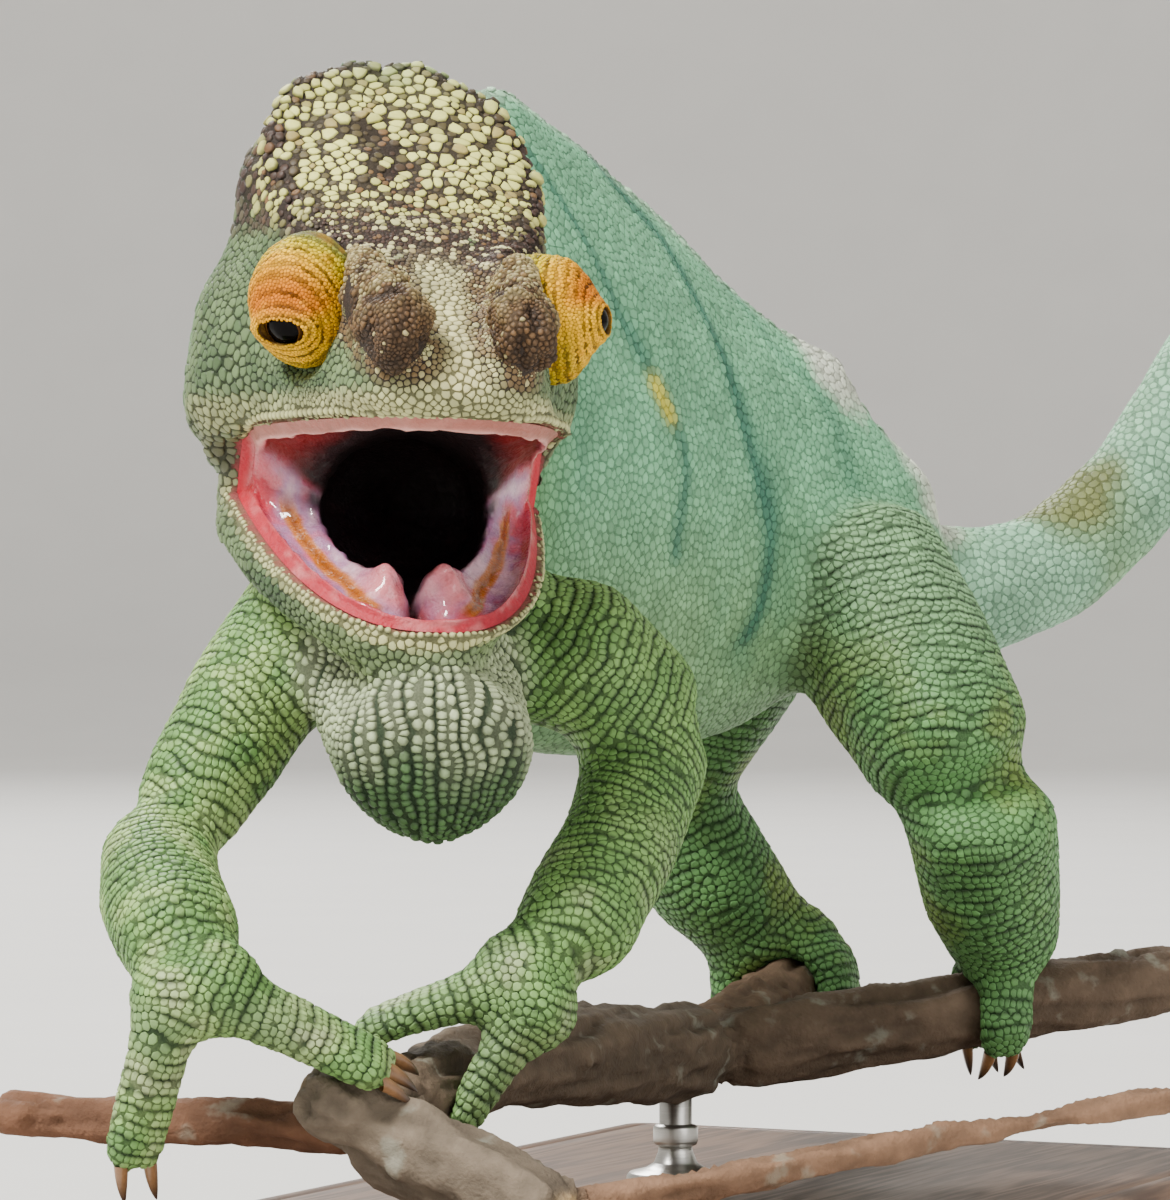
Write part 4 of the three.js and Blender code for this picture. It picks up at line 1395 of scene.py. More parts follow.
    def _face_folds(self, points: Array) -> Array:
        """Ridges of the brows and helmet, the socket rims, lips and cheeks."""
        part = head_parts(points)
        x, y, z = HEAD.inner(points).T
        lumps = layered(points, 4.2, 31)
        knobs = 0.5 + 0.5 * np.sin(part["crest_along"] * FULL_TURN / 3.4)
        move = part["crest"] * (0.9 + 0.9 * knobs + 0.6 * lumps + 0.8 * step(z, 44, 54))
        move -= 2.3 * hump(z - 29, 8) * step(np.abs(x), 21, 27) * step(y, 4, 14)
        move += part["crown"] * 0.5 * lumps - 0.7 * part["crown"] * hump(x, 10)
        move += 0.8 * hump(np.abs(x) - 31, 6) * hump(z - 4, 14) * step(y, 16, 30)
        move += 0.3 * part["upper_lip"] - 0.25 * hump(z - 6.2, 1.8) * step(y, 34, 24)
        move += part["rictus"] * 0.45 * np.sin((z + 0.6 * y) * FULL_TURN / 4.5)
        for eye in EYES:
            gap = gaps_to(points, eye.middle)
            move += 0.9 * hump(gap - 12.8, 1.6) - 0.9 * hump(gap - 10.6, 1.1)
        return move + 0.15 * noise(points, 2.6, 32)

    def _jaw_folds(self, points: Array) -> Array:
        """The creases across the chin."""
        x, y, z = JAW.inner(points).T
        under = step(z, -5, -8) * step(np.abs(x), 17, 9)
        ridge = np.sin((y + 0.8 * noise(points, 6, 33)) * FULL_TURN / 4.4)
        return under * 0.45 * ridge - 0.4 * hump(z + 4.6, 1.0)

    def _pouch_folds(self, points: Array) -> Array:
        """Grooves that fan down the throat pouch like a pumpkin's."""
        row = self.rows_at(points, self.lie.node, np.ones(len(points)))
        return -0.2 * np.cos((row - 0.5) * math.pi)

    def _limb_folds(self, points: Array) -> Array:
        """Fine creases across arms, hands, legs and feet."""
        row = self.rows_at(points, self.lie.node, np.zeros(len(points)))
        return -0.14 * np.cos((row - 0.5) * math.pi) + 0.3 * noise(points, 8, 39)

    def _body_folds(self, points: Array) -> Array:
        """Upright folds behind the head, faint ribs, the toothed ridge and the hip knobs."""
        _, back, up = STANCE.inner(points).T
        wander = 3 * noise(points, 22, 42)
        folds = 0.34 * np.sin((back + 0.25 * up + wander) * FULL_TURN / 8.5)
        move = folds * (0.1 + 0.9 * step(back, 72, 54)) + 0.25 * layered(points, 12, 43)
        ridge = step(up - np.interp(back, SPINE_BACK, [46, 82, 87, 79, 53, 20]), 0, 3)
        move += ridge * (0.5 + 0.6 * np.sin(back * FULL_TURN / 3.4))
        for knob, height in zip(PELVIS_KNOBS, (3.0, 2.6)):
            move += height * hump(gaps_to(points, STANCE.outer(knob)), 7.5)
        return move

    def _clear_the_mouth(self) -> None:
        """Keeps the skin behind the mouth's lining and notes where it is out of sight there."""
        tree, points = self.mouth.surface.tree(), self.surface.points
        for row in self._near_mouth():
            spot = Vector(points[row])
            where, normal, _, gap = tree.find_nearest(spot)
            if gap > self.lining_reach:
                continue
            depth = (spot - where).dot(normal)
            if abs(depth) > 0.8 * gap and depth > -self.lining_gap:
                points[row] = np.array(where - normal * self.lining_gap)
            self.lie.oral[row] = step(gap, 2.0, 0.9) if abs(depth) > 0.7 * gap else step(gap, 1.1, 0.5)

    def colours(self) -> Array:
        """The soft skin's colours: the markings, with painted shade darkening the skin between the scales
        and in the creases.
        """
        lie, marks = self.lie, self.markings
        # painted shade: each region's skin between its scales is darkened by a factor
        tone = {Region.CASQUE: 0.24, Region.FACE: 0.3, Region.JAW: 0.34, Region.TRUNK: 0.72}
        tone |= {Region.NECK: 0.45, Region.POUCH: 0.3, Region.TAIL: 0.7, Region.ARM: 0.42}
        tone |= {Region.HAND: 0.42, Region.LEG: 0.5, Region.FOOT: 0.5}
        factor = sum(lie.of(region) * tone[region] for region in Region)
        colour = marks.colours(self.surface.points, lie) * factor[:, None]
        part = head_parts(self.surface.points)
        # painted shade: the skin between the scales on top of the head is painted dark brown
        top = np.clip(part["crown"] + part["crest"] + part["brow"] + part["horny"], 0, 1)
        colour = mixed(colour, paint(50, 40, 34), 0.92 * top * lie.of(Region.CASQUE, Region.FACE))
        # painted shade in the creases between rows of scales
        colour = mixed(colour, marks.arm_dark * 0.7, 0.8 * lie.crease())
        return mixed(colour, paint(150, 64, 66), lie.oral)

    def build(self) -> None:
        """Makes the skin, which stands for every node of flesh."""
        piece = self.surface.to_object("skin", SkinFinish().material(), hue=self.colours())
        dress(piece, "skin", *FLESH)


# ---- the coat of scales ----


@dataclass(frozen=True)
class ScaleKind:
    """The build of one region's scales.

    edge is how bright a scale is at the edge that it turns to the next row, side at its other
    edges, both painted shade where scales meet, and row_gap and gap are how much room it leaves
    there. A flat scale is a plate with a steep rim, otherwise it is a dome.
    """

    size: float
    height: float = 0.16
    edge: float = 0.55
    side: float = 0.55
    flat: bool = True
    gap: float = 0.04
    row_gap: float = 0.04
    lean: float = 0.03
    sides: int = 8

    def levels(self) -> tuple[Pair, ...]:
        """The rings of points up its flank: share of the reach, and of the height."""
        return ((0.93, 0.66), (0.7, 0.97)) if self.flat else ((0.8, 0.6), (0.42, 0.92))


KINDS: dict[Region, ScaleKind] = {
    Region.CASQUE: ScaleKind(1.95, 0.12, 0.2, 0.2, gap=0.1, row_gap=0.1),
    Region.FACE: ScaleKind(1.6, 0.12, 0.22, 0.22, gap=0.09, row_gap=0.09),
    Region.JAW: ScaleKind(1.3, 0.14, 0.3, 0.4, gap=0.07, row_gap=0.1, sides=7),
    Region.NECK: ScaleKind(1.6, 0.13, 0.45, 0.5, gap=0.05, row_gap=0.08, sides=7),
    Region.TRUNK: ScaleKind(1.68, 0.06, 0.76, 0.78, sides=6),
    Region.POUCH: ScaleKind(1.5, 0.2, 0.5, 0.5, flat=False, gap=0.03, row_gap=0.03, sides=7),
    Region.TAIL: ScaleKind(1.75, 0.06, 0.74, 0.76, sides=6),
    Region.ARM: ScaleKind(1.4, 0.09, 0.62, 0.76, gap=0.03, row_gap=0.05, sides=7),
    Region.HAND: ScaleKind(1.35, 0.1, 0.62, 0.76, gap=0.03, row_gap=0.05, sides=7),
    Region.LEG: ScaleKind(1.5, 0.09, 0.66, 0.78, gap=0.03, row_gap=0.05, sides=6),
    Region.FOOT: ScaleKind(1.4, 0.09, 0.66, 0.76, gap=0.03, row_gap=0.05, sides=7),
}
LIP_KIND = ScaleKind(1.75, 0.26, 0.24, 0.24, flat=False, gap=0.08, row_gap=0.08)


class Unwrap:
    """The unwrap of the hide's own shape, where each scale finds its place for baking."""

    def __init__(self, surface: Surface, voxel: float = 3.5) -> None:
        """Unwraps a coarse copy of the surface.

        Args:
            surface: The hide.
            voxel: The size of the copy's squares, in millimetres.
        """
        self.coarse = surface.rebuilt(voxel)
        self.coarse.faces = self.coarse.triangles()
        piece = self.coarse.to_object("unwrapped", bpy.data.materials.new("unwrapped"))
        piece.data.uv_layers.new(name="OFBake")
        bpy.context.view_layer.objects.active = piece
        piece.select_set(True)
        bpy.ops.object.mode_set(mode="EDIT")
        bpy.ops.mesh.select_all(action="SELECT")
        bpy.ops.uv.smart_project(angle_limit=1.15, island_margin=0.004, scale_to_bounds=True)
        bpy.ops.object.mode_set(mode="OBJECT")
        flat = np.empty(len(piece.data.loops) * 2)
        piece.data.uv_layers["OFBake"].data.foreach_get("uv", flat)
        self.corners = flat.reshape(-1, 3, 2)
        self.tree = self.coarse.tree()
        mesh, material = piece.data, piece.data.materials[0]
        bpy.data.objects.remove(piece)
        bpy.data.meshes.remove(mesh)
        bpy.data.materials.remove(material)

    def at(self, points: Array) -> Array:
        """The spot of each point on the unwrap."""
        spots, _, faces, _ = nearest(self.tree, points)
        a, b, c = (self.coarse.points[self.coarse.faces[faces, k]] for k in range(3))
        whole = np.cross(b - a, c - a)
        area = np.maximum(dot(whole, whole), 1e-12)
        first = dot(np.cross(c - b, spots - b), whole) / area
        second = dot(np.cross(a - c, spots - c), whole) / area
        shares = np.clip([first, second, 1 - first - second], 0, 1)
        return sum(self.corners[faces, k] * shares[k][:, None] for k in range(3))


@dataclass
class Roots:
    """Where the scales of one sheet stand, how big they are and how they look."""

    points: Array
    normals: Array
    towards: Array
    sizes: Array
    rows: Array

    def joined(self, other: "Roots") -> "Roots":
        """These roots and some others."""
        return Roots(*map(np.concatenate, zip(vars(self).values(), vars(other).values())))

    def kept(self, which: Array) -> "Roots":
        """Only some of them."""
        return Roots(*(known[which] for known in vars(self).values()))


@dataclass
class Sower:
    """Spreads scales over a surface so that they pave it without lining up.

    crowd is how many places are tried for each scale. packing, closest and wish are how near two may
    stand at first and at last, and how far they push each other apart, as shares of their size.
    nudge is the step in millimetres with which the way across the rows is felt out.
    """

    surface: Surface
    sizes: Array
    towards: Array
    seed: int = 5
    crowd: float = 7.0
    packing: float = 0.84
    closest: float = 0.72
    wish: float = 0.62
    nudge: float = 0.2
    passes: int = 3
    rows: Optional[Callable[[Array, Array], tuple[Array, Array]]] = None

    def sow(self) -> Roots:
        """Finds a place for each scale."""
        rng = np.random.default_rng(self.seed)
        triangles = self.surface.triangles()
        flat = Surface(self.surface.points, triangles)
        areas = np.linalg.norm(flat.face_normals(), axis=1) / 2
        own = self.sizes[triangles].mean(axis=1)
        wanted = np.where(own > 0, areas / np.maximum(own, 0.2) ** 2 * self.crowd, 0)
        count = (wanted + rng.random(len(wanted))).astype(int)
        face = np.repeat(np.arange(len(triangles)), count)
        first, second = rng.random((2, len(face)))
        over = first + second > 1
        first, second = np.where(over, 1 - first, first), np.where(over, 1 - second, second)
        corners = self.surface.points[triangles[face]]
        points = corners[:, 0] + first[:, None] * (corners[:, 1] - corners[:, 0])
        points += second[:, None] * (corners[:, 2] - corners[:, 0])
        sizes = own[face] * self.packing
        chosen = self._thinned(points, sizes, rng)
        points, sizes = points[chosen], sizes[chosen]
        tree = self.surface.tree()
        for _ in range(self.passes):
            points = self._in_rows(self._spread(points, sizes, tree), tree)
        chosen = self._thinned(points, sizes * self.closest, rng)
        return self.roots_at(points[chosen], tree)

    def _in_rows(self, points: Array, tree: BVHTree) -> Array:
        """Draws points to the middle of their row, where there are rows."""
        if self.rows is None:
            return points
        corners = self.surface.faces[nearest(tree, points)[2], 0]
        row, rowed = self.rows(points, corners)
        slope = np.empty_like(points)
        for axis in range(3):
            nudge = self.nudge * np.eye(3)[axis]
            slope[:, axis] = (self.rows(points + nudge, corners)[0] - row) / self.nudge
        normal = self.surface.normals()[corners]
        slope -= normal * dot(slope, normal)[:, None]
        steep = np.maximum(dot(slope, slope), 0.02)
        moved = points - slope * ((row - np.round(row)) * rowed / steep)[:, None]
        return nearest(tree, moved)[0]

    @staticmethod
    def _thinned(points: Array, sizes: Array, rng: np.random.Generator) -> Array:
        """Rows of points that keep their distance from one another."""
        tree = point_tree(points)
        free = np.ones(len(points), dtype=bool)
        chosen = []
        reach = sizes.tolist()
        for row in rng.permutation(len(points)).tolist():
            if free[row]:
                chosen.append(row)
                free[[hit[1] for hit in tree.find_range(points[row], reach[row])]] = False
        return np.array(chosen)

    @staticmethod
    def neighbours(points: Array, count: int) -> Array:
        """Rows of each point's nearest others."""
        tree = point_tree(points)
        found = np.empty((len(points), count), dtype=np.int64)
        for row, point in enumerate(points.tolist()):
            hits = [hit[1] for hit in tree.find_n(point, count + 1) if hit[1] != row]
            found[row] = (hits + [row] * count)[:count]
        return found

    def _spread(self, points: Array, sizes: Array, tree: BVHTree) -> Array:
        """Pushes crowded points apart and drops them back on the surface."""
        near = self.neighbours(points, 6)
        apart = points[:, None] - points[near]
        gap = np.linalg.norm(apart, axis=2, keepdims=True)
        wish = (sizes[:, None] + sizes[near])[..., None] * self.wish
        push = apart / np.maximum(gap, 1e-6) * np.clip(wish - gap, -0.1, 1)
        moved = points + 0.3 * push.mean(axis=1) * 2
        return nearest(tree, moved)[0]

    def roots_at(self, points: Array, tree: BVHTree) -> Roots:
        """Reads off what each root needs from the surface's nearest point."""
        corners = self.surface.points[self.surface.faces]
        faces = nearest(tree, points)[2]
        gaps = np.linalg.norm(corners[faces] - points[:, None], axis=2)
        weights = 1 / (gaps + 0.05)
        weights /= weights.sum(axis=1, keepdims=True)
        rows = self.surface.faces[faces]
        normals = self.surface.normals()[rows]
        normal = unit((normals * weights[..., None]).sum(axis=1))
        towards = self.towards[rows[:, 0]]
        towards = towards - normal * dot(towards, normal)[:, None]
        spare = np.cross(normal, [0.3, 0.5, 0.8])
        towards = unit(np.where(np.linalg.norm(towards, axis=1, keepdims=True) > 0.1, towards, spare))
        sizes = (self.sizes[rows] * weights).sum(axis=1)
        return Roots(points, normal, towards, sizes, rows[np.arange(len(rows)), gaps.argmin(axis=1)])


@dataclass
class ScaleMesh:
    """Builds solid scales over roots: each is cut to the room between its neighbours.

    bound is how far a scale reaches at most and sink how deep its rim stands in the skin, as shares
    of its size. Only neighbours that lie ahead of an edge by at least facing, a cosine, bound it.
    """

    roots: Roots
    bound: float | Array = 0.8
    sink: float = 0.22
    facing: float = 0.15
    neighbours: int = 12

    def __post_init__(self) -> None:
        """Finds each root's neighbours."""
        self._near = Sower.neighbours(self.roots.points, self.neighbours)

    def outlines(self, kind: ScaleKind, rows: Array) -> Array:
        """How far each scale reaches, by row and direction."""
        roots = self.roots
        near = self._near[rows]
        normal = roots.normals[rows]
        ahead = roots.towards[rows]
        aside = np.cross(normal, ahead)
        offset = roots.points[near] - roots.points[rows][:, None]
        x = np.einsum("ijk,ik->ij", offset, ahead)
        y = np.einsum("ijk,ik->ij", offset, aside)
        distance = np.maximum(np.hypot(x, y), 1e-6)
        own = roots.sizes[rows][:, None]
        border = distance * own / (own + roots.sizes[near])
        border = np.where(near == rows[:, None], FAR, border)
        turns = round_steps(kind.sides, 0.5)
        facing = (x[..., None] * np.cos(turns) + y[..., None] * np.sin(turns)) / distance[..., None]
        ahead_enough = np.maximum(facing, self.facing)
        reach = np.where(facing > self.facing, border[..., None] / ahead_enough, FAR).min(axis=1)
        wear = 1 + 0.7 * noise(roots.points[rows], 5, 55)
        room = kind.gap + np.outer(wear * kind.row_gap - kind.gap, np.cos(turns) ** 2)
        bound = np.broadcast_to(self.bound, len(roots.points))[rows][:, None]
        return np.minimum(reach * (1 - room), own * bound)

    def build(
        self, rows: Array, kind: ScaleKind, hues: Array, lifts: Array, seed: int = 3
    ) -> tuple[Surface, dict[str, Array], Array]:
        """Makes the scales of some of the roots.

        Args:
            rows: Which roots.
            kind: Their build.
            hues: Colours of all the roots.
            lifts: How much taller or lower than usual each root's scale is.
            seed: For their small differences.

        Returns:
            The mesh, the numbers and colours of its points, and each point's offset within its
            scale, from -1 to 1 along and across it.
        """
        rng = np.random.default_rng(seed)
        roots, sides = self.roots, kind.sides
        reach = self.outlines(kind, rows)
        turns = round_steps(sides, 0.5)
        normal, ahead = roots.normals[rows], roots.towards[rows]
        aside = np.cross(normal, ahead)
        root = roots.points[rows]
        size = reach.mean(axis=1) * 2
        height = size * kind.height * lifts[rows] * (0.85 + 0.3 * rng.random(len(rows)))
        rings, tones, spin = [], [], []
        # painted shade: each ring of a scale is darker towards its rim, where it meets its neighbours
        edge = kind.side + (kind.edge - kind.side) * np.cos(turns) ** 2
        for share, rise in ((1.0, 0.0), *kind.levels()):
            out = reach * share
            lean = kind.lean * size * rise
            along, across = np.cos(turns) * out + lean[:, None], np.sin(turns) * out
            up = height[:, None] * rise * (1 + 0.2 * np.cos(turns) * (rise > 0))
            up = up if rise > 0 else np.tile(-self.sink * np.minimum(size, 1.2)[:, None], sides)
            ring = root[:, None] + along[..., None] * ahead[:, None]
            rings.append(ring + across[..., None] * aside[:, None] + up[..., None] * normal[:, None])
            # painted shade: the sunk rim ring is darker still
            tones.append(edge * (1 - rise) * (0.7 if rise == 0 else 1.0) + rise)
            spin += [[math.cos(turn) * share, math.sin(turn) * share] for turn in turns]
        top = root + normal * height[:, None] + ahead * (kind.lean * size)[:, None]
        points = np.concatenate([*rings, top[:, None]], axis=1)
        each = points.shape[1]
        starts = (np.arange(len(rows)) * each)[:, None, None]
        own = 0.86 + 0.24 * rng.random(len(rows))
        values = {
            "hue": np.repeat(hues[rows], each, axis=0),
            "tone": np.outer(own, np.append(np.concatenate(tones), 1.0)).ravel(),
        }
        faces = (self._faces(sides, 1 + len(kind.levels()))[None] + starts).reshape(-1, 3)
        return Surface(points.reshape(-1, 3), faces), values, np.tile([*spin, [0, 0]], (len(rows), 1))

    @staticmethod
    def _faces(sides: int, rings: int) -> Array:
        """One scale's triangles."""
        faces = []
        for ring in range(rings - 1):
            for k in range(sides):
                a, b = ring * sides + k, ring * sides + (k + 1) % sides
                faces += [(a, b, b + sides), (a, b + sides, a + sides)]
        last = (rings - 1) * sides
        faces += [(last + k, last + (k + 1) % sides, rings * sides) for k in range(sides)]
        return np.array(faces)


@dataclass
class Coat:
    """All the solid scales of the hide, in pieces by region."""

    hide: Hide
    most: int = 190_000
    lip_scale: float = 1.75
    lip_bound: float = 0.45
    most_oral: float = 0.4

    def sizes(self) -> Array:
        """How big scales are at each point of the hide, 0 where there are none."""
        lie = self.hide.lie
        points = self.hide.surface.points
        size = sum(KINDS[region].size * lie.of(region) for region in Region)
        part = head_parts(points)
        head = lie.of(Region.FACE, Region.CASQUE, Region.JAW)
        gap = np.min([gaps_to(points, eye.middle) for eye in EYES], axis=0)
        factor = 1 - 0.38 * step(gap, 17, 12) - 0.15 * part["upper_lip"] - 0.1 * part["lower_lip"]
        factor = factor - 0.34 * part["brow"] + 0.25 * part["cheek"] - 0.3 * part["horny"]
        size = size * (1 + head * (np.clip(factor, 0.55, 1.4) - 1))
        size = size * (0.94 + (0.16 + 0.14 * head) * noise(points, 3.5, 51) * (1 - lie.of(*ROWED)))
        return np.where((lie.oral > self.most_oral) | self._under_horns(), 0, size)

    def _under_horns(self) -> Array:
        """Which points of the hide lie out of sight inside a horn."""
        points = self.hide.surface.points
        hidden = np.zeros(len(points), dtype=bool)
        near = np.flatnonzero(head_parts(points)["horny"] > 0)
        for node in HORNS:
            tree = node_surface(node, -0.2).tree()
            for row in near:
                where, normal, _, _ = tree.find_nearest(Vector(points[row]))
                hidden[row] |= (Vector(points[row]) - where).dot(normal) < 0
        return hidden

    def _rows(self, points: Array, corners: Array) -> tuple[Array, Array]:
        """The row that each point lies in, and how strongly it is held to it."""
        lie = self.hide.lie
        row = self.hide.rows_at(points, lie.node[corners], lie.of(Region.POUCH)[corners])
        return row, step(lie.hold[corners], 0.3, 0.8)

    def _lip_roots(self, tree: BVHTree) -> tuple[Array, Array]:
        """Places and sizes for the row of larger scales along each lip."""
        mouth = self.hide.mouth
        rise = 1.5 + 0.6 * step(mouth.s, 0.0, 0.3)
        line = mouth.margin + (2.0 + 0.6 * rise[:, None]) * mouth.outward() + rise[:, None] * mouth.away
        places = []
        for side, pitch in ((mouth.s > 0.1, self.lip_scale), (mouth.s < -0.1, 0.75 * self.lip_scale)):
            part = line[side]
            run = np.concatenate([[0], np.cumsum(np.linalg.norm(np.diff(part, axis=0), axis=1))])
            marks = np.arange(0, run[-1], pitch)
            part = np.stack([np.interp(marks, run, part[:, axis]) for axis in range(3)], axis=1)
            places.append(np.column_stack([HEAD.outer(part), np.full(len(part), pitch)]))
        found = np.vstack(places)
        return nearest(tree, found[:, :3])[0], found[:, 3]

    def sown(self) -> tuple[Roots, Array]:
        """Every root, and which of them stand along the lips."""
        hide = self.hide
        sower = Sower(hide.surface, self.sizes(), hide.lie.towards, rows=self._rows)
        roots = sower.sow()
        tree = hide.surface.tree()
        spots, sizes = self._lip_roots(tree)
        lips = sower.roots_at(spots, tree)
        lips.sizes = sizes
        gaps = point_tree(lips.points)
        found = [gaps.find(point) for point in roots.points]
        clear = np.array([gap > 0.6 * sizes[row] for _, row, gap in found])
        clear &= hide.lie.oral[roots.rows] < self.most_oral
        return roots.kept(clear).joined(lips), np.arange(clear.sum() + len(lips.points)) >= clear.sum()

    def _looks(self, roots: Roots, lips: Array, lie: Lie) -> tuple[Array, Array, Array]:
        """Colours, sizes and lifts of the scales: mottled on the casque, pale along the lips.

        Args:
            roots: Every root.
            lips: Which of them stand along the lips.
            lie: What is known of their spots.

        Returns:
            A colour, a factor on the size and a factor on the height for each.
        """
        marks = self.hide.markings
        grain, chance = np.random.default_rng(8).random((2, len(lips)))
        hues = marks.colours(roots.points, lie) * (0.86 + 0.28 * grain)[:, None]
        head = lie.of(Region.CASQUE, Region.FACE)
        part = {key: share * head for key, share in head_parts(roots.points).items()}
        crown, crest, brow, temple = (part[key] for key in ("crown", "crest", "brow", "temple"))
        top = np.clip(crown + crest + brow + temple, 0, 1)
        dark = top * (chance < 0.28 + 0.5 * part["patch"] + 0.45 * crest + 0.4 * brow + 0.35 * temple)
        hues = painted(
            hues,
            (marks.crown_dark * 0.5, 0.9 * dark),
            (marks.brow, 0.6 * crown * (chance > 0.45) * (chance < 0.55)),
            (marks.crown * 1.1, 0.8 * crown * (chance > 0.55)),
            (marks.saddle, 0.7 * brow * (chance > 0.8)),
            (marks.saddle, 0.5 * part["horny"] * (chance > 0.85)),
            (marks.lip * 1.1, 0.85 * lips),
        )
        sizes = 1 - 0.42 * dark + 0.2 * crown * (chance > 0.55) + 0.5 * top * (grain - 0.5)
        return hues, sizes, 1.0 + 1.6 * crest

    def _shaded_creases(self, points: Array, own: Array) -> Array:
        """How bright points of the scales are for the creases between rows, by their roots' spots."""
        lie = self.hide.lie
        row = self.hide.rows_at(points, lie.node[own], lie.of(Region.POUCH)[own])
        fade = step(noise(points, 6, 56), -0.8, 0.0) * step(lie.hold[own], 0.1, 0.7)
        return 1 - 0.78 * fade * crease_of(row)

    def build(self) -> None:
        """Sows the scales and makes each region's pieces."""
        roots, lips = self.sown()
        lie = self.hide.lie.at(roots.rows)
        hues, factors, lifts = self._looks(roots, lips, lie)
        roots.sizes *= factors
        mesh = ScaleMesh(roots, np.where(lips, self.lip_bound, ScaleMesh.bound))
        places = Unwrap(self.hide.surface).at(roots.points)
        finish = ScaleFinish().material()
        owner = np.where(lips, len(Region), lie.share.argmax(axis=1))
        batches = [(region.name.lower(), region.value, KINDS[region], region in ROWED) for region in Region]
        for title, number, kind, rowed in [*batches, ("lips", len(Region), LIP_KIND, False)]:
            rows = np.flatnonzero(owner == number)
            parts = max(1, math.ceil(len(rows) * kind.sides * 5 / self.most))
            order = rows[np.argsort(roots.points[rows, 1])]
            for count, batch in enumerate(np.array_split(order, parts), start=1):
                surface, values, spin = mesh.build(batch, kind, hues, lifts, number)
                each = len(spin) // len(batch)
                if rowed:
                    own = np.repeat(roots.rows[batch], each)
                    values["tone"] = values["tone"] * self._shaded_creases(surface.points, own)
                name = f"coat_{title}" + (f"_{count}" if parts > 1 else "")
                piece = surface.to_object(name, finish, **values)
                add_bake_map(piece, surface, places[batch], spin)
                dress(piece, "skin")
        log.info("scales in all %d", len(roots.points))


BAKED_SCALE = 0.0015


def add_bake_map(piece: Object, surface: Surface, places: Array, spin: Array) -> None:
    """Gives a piece of coat its map for baking: each scale a small patch at its root's place.

    Args:
        piece: The piece.
        surface: Its mesh.
        places: The place of each root on the map.
        spin: Each point's offset within its scale.
    """
    each = len(spin) // len(places)
    spots = np.clip(np.repeat(places, each, axis=0) + spin * BAKED_SCALE, 0, 1)
    layer = piece.data.uv_layers.new(name="OFBake")
    layer.data.foreach_set("uv", spots[surface.faces.ravel()].astype(np.float32).ravel())


def add_beads(
    name: str, slot: str, finish: ScaleFinish, kind: ScaleKind, roots: Roots, looks: Sequence, places: Array
) -> None:
    """Makes a piece of scales of one kind over roots.

    Args:
        name: The piece's name.
        slot: A slot name, which is not used.
        finish: Its finish.
        kind: The scales' build.
        roots: Where they stand.
        looks: Their colours, and how much taller or lower than usual they are.
        places: Their places on the map for baking.
    """
    surface, values, spin = ScaleMesh(roots).build(np.arange(len(places)), kind, *looks)
    piece = surface.to_object(name, finish.material(), **values)
    add_bake_map(piece, surface, places, spin)
    dress(piece, slot)


# ---- eyes ----


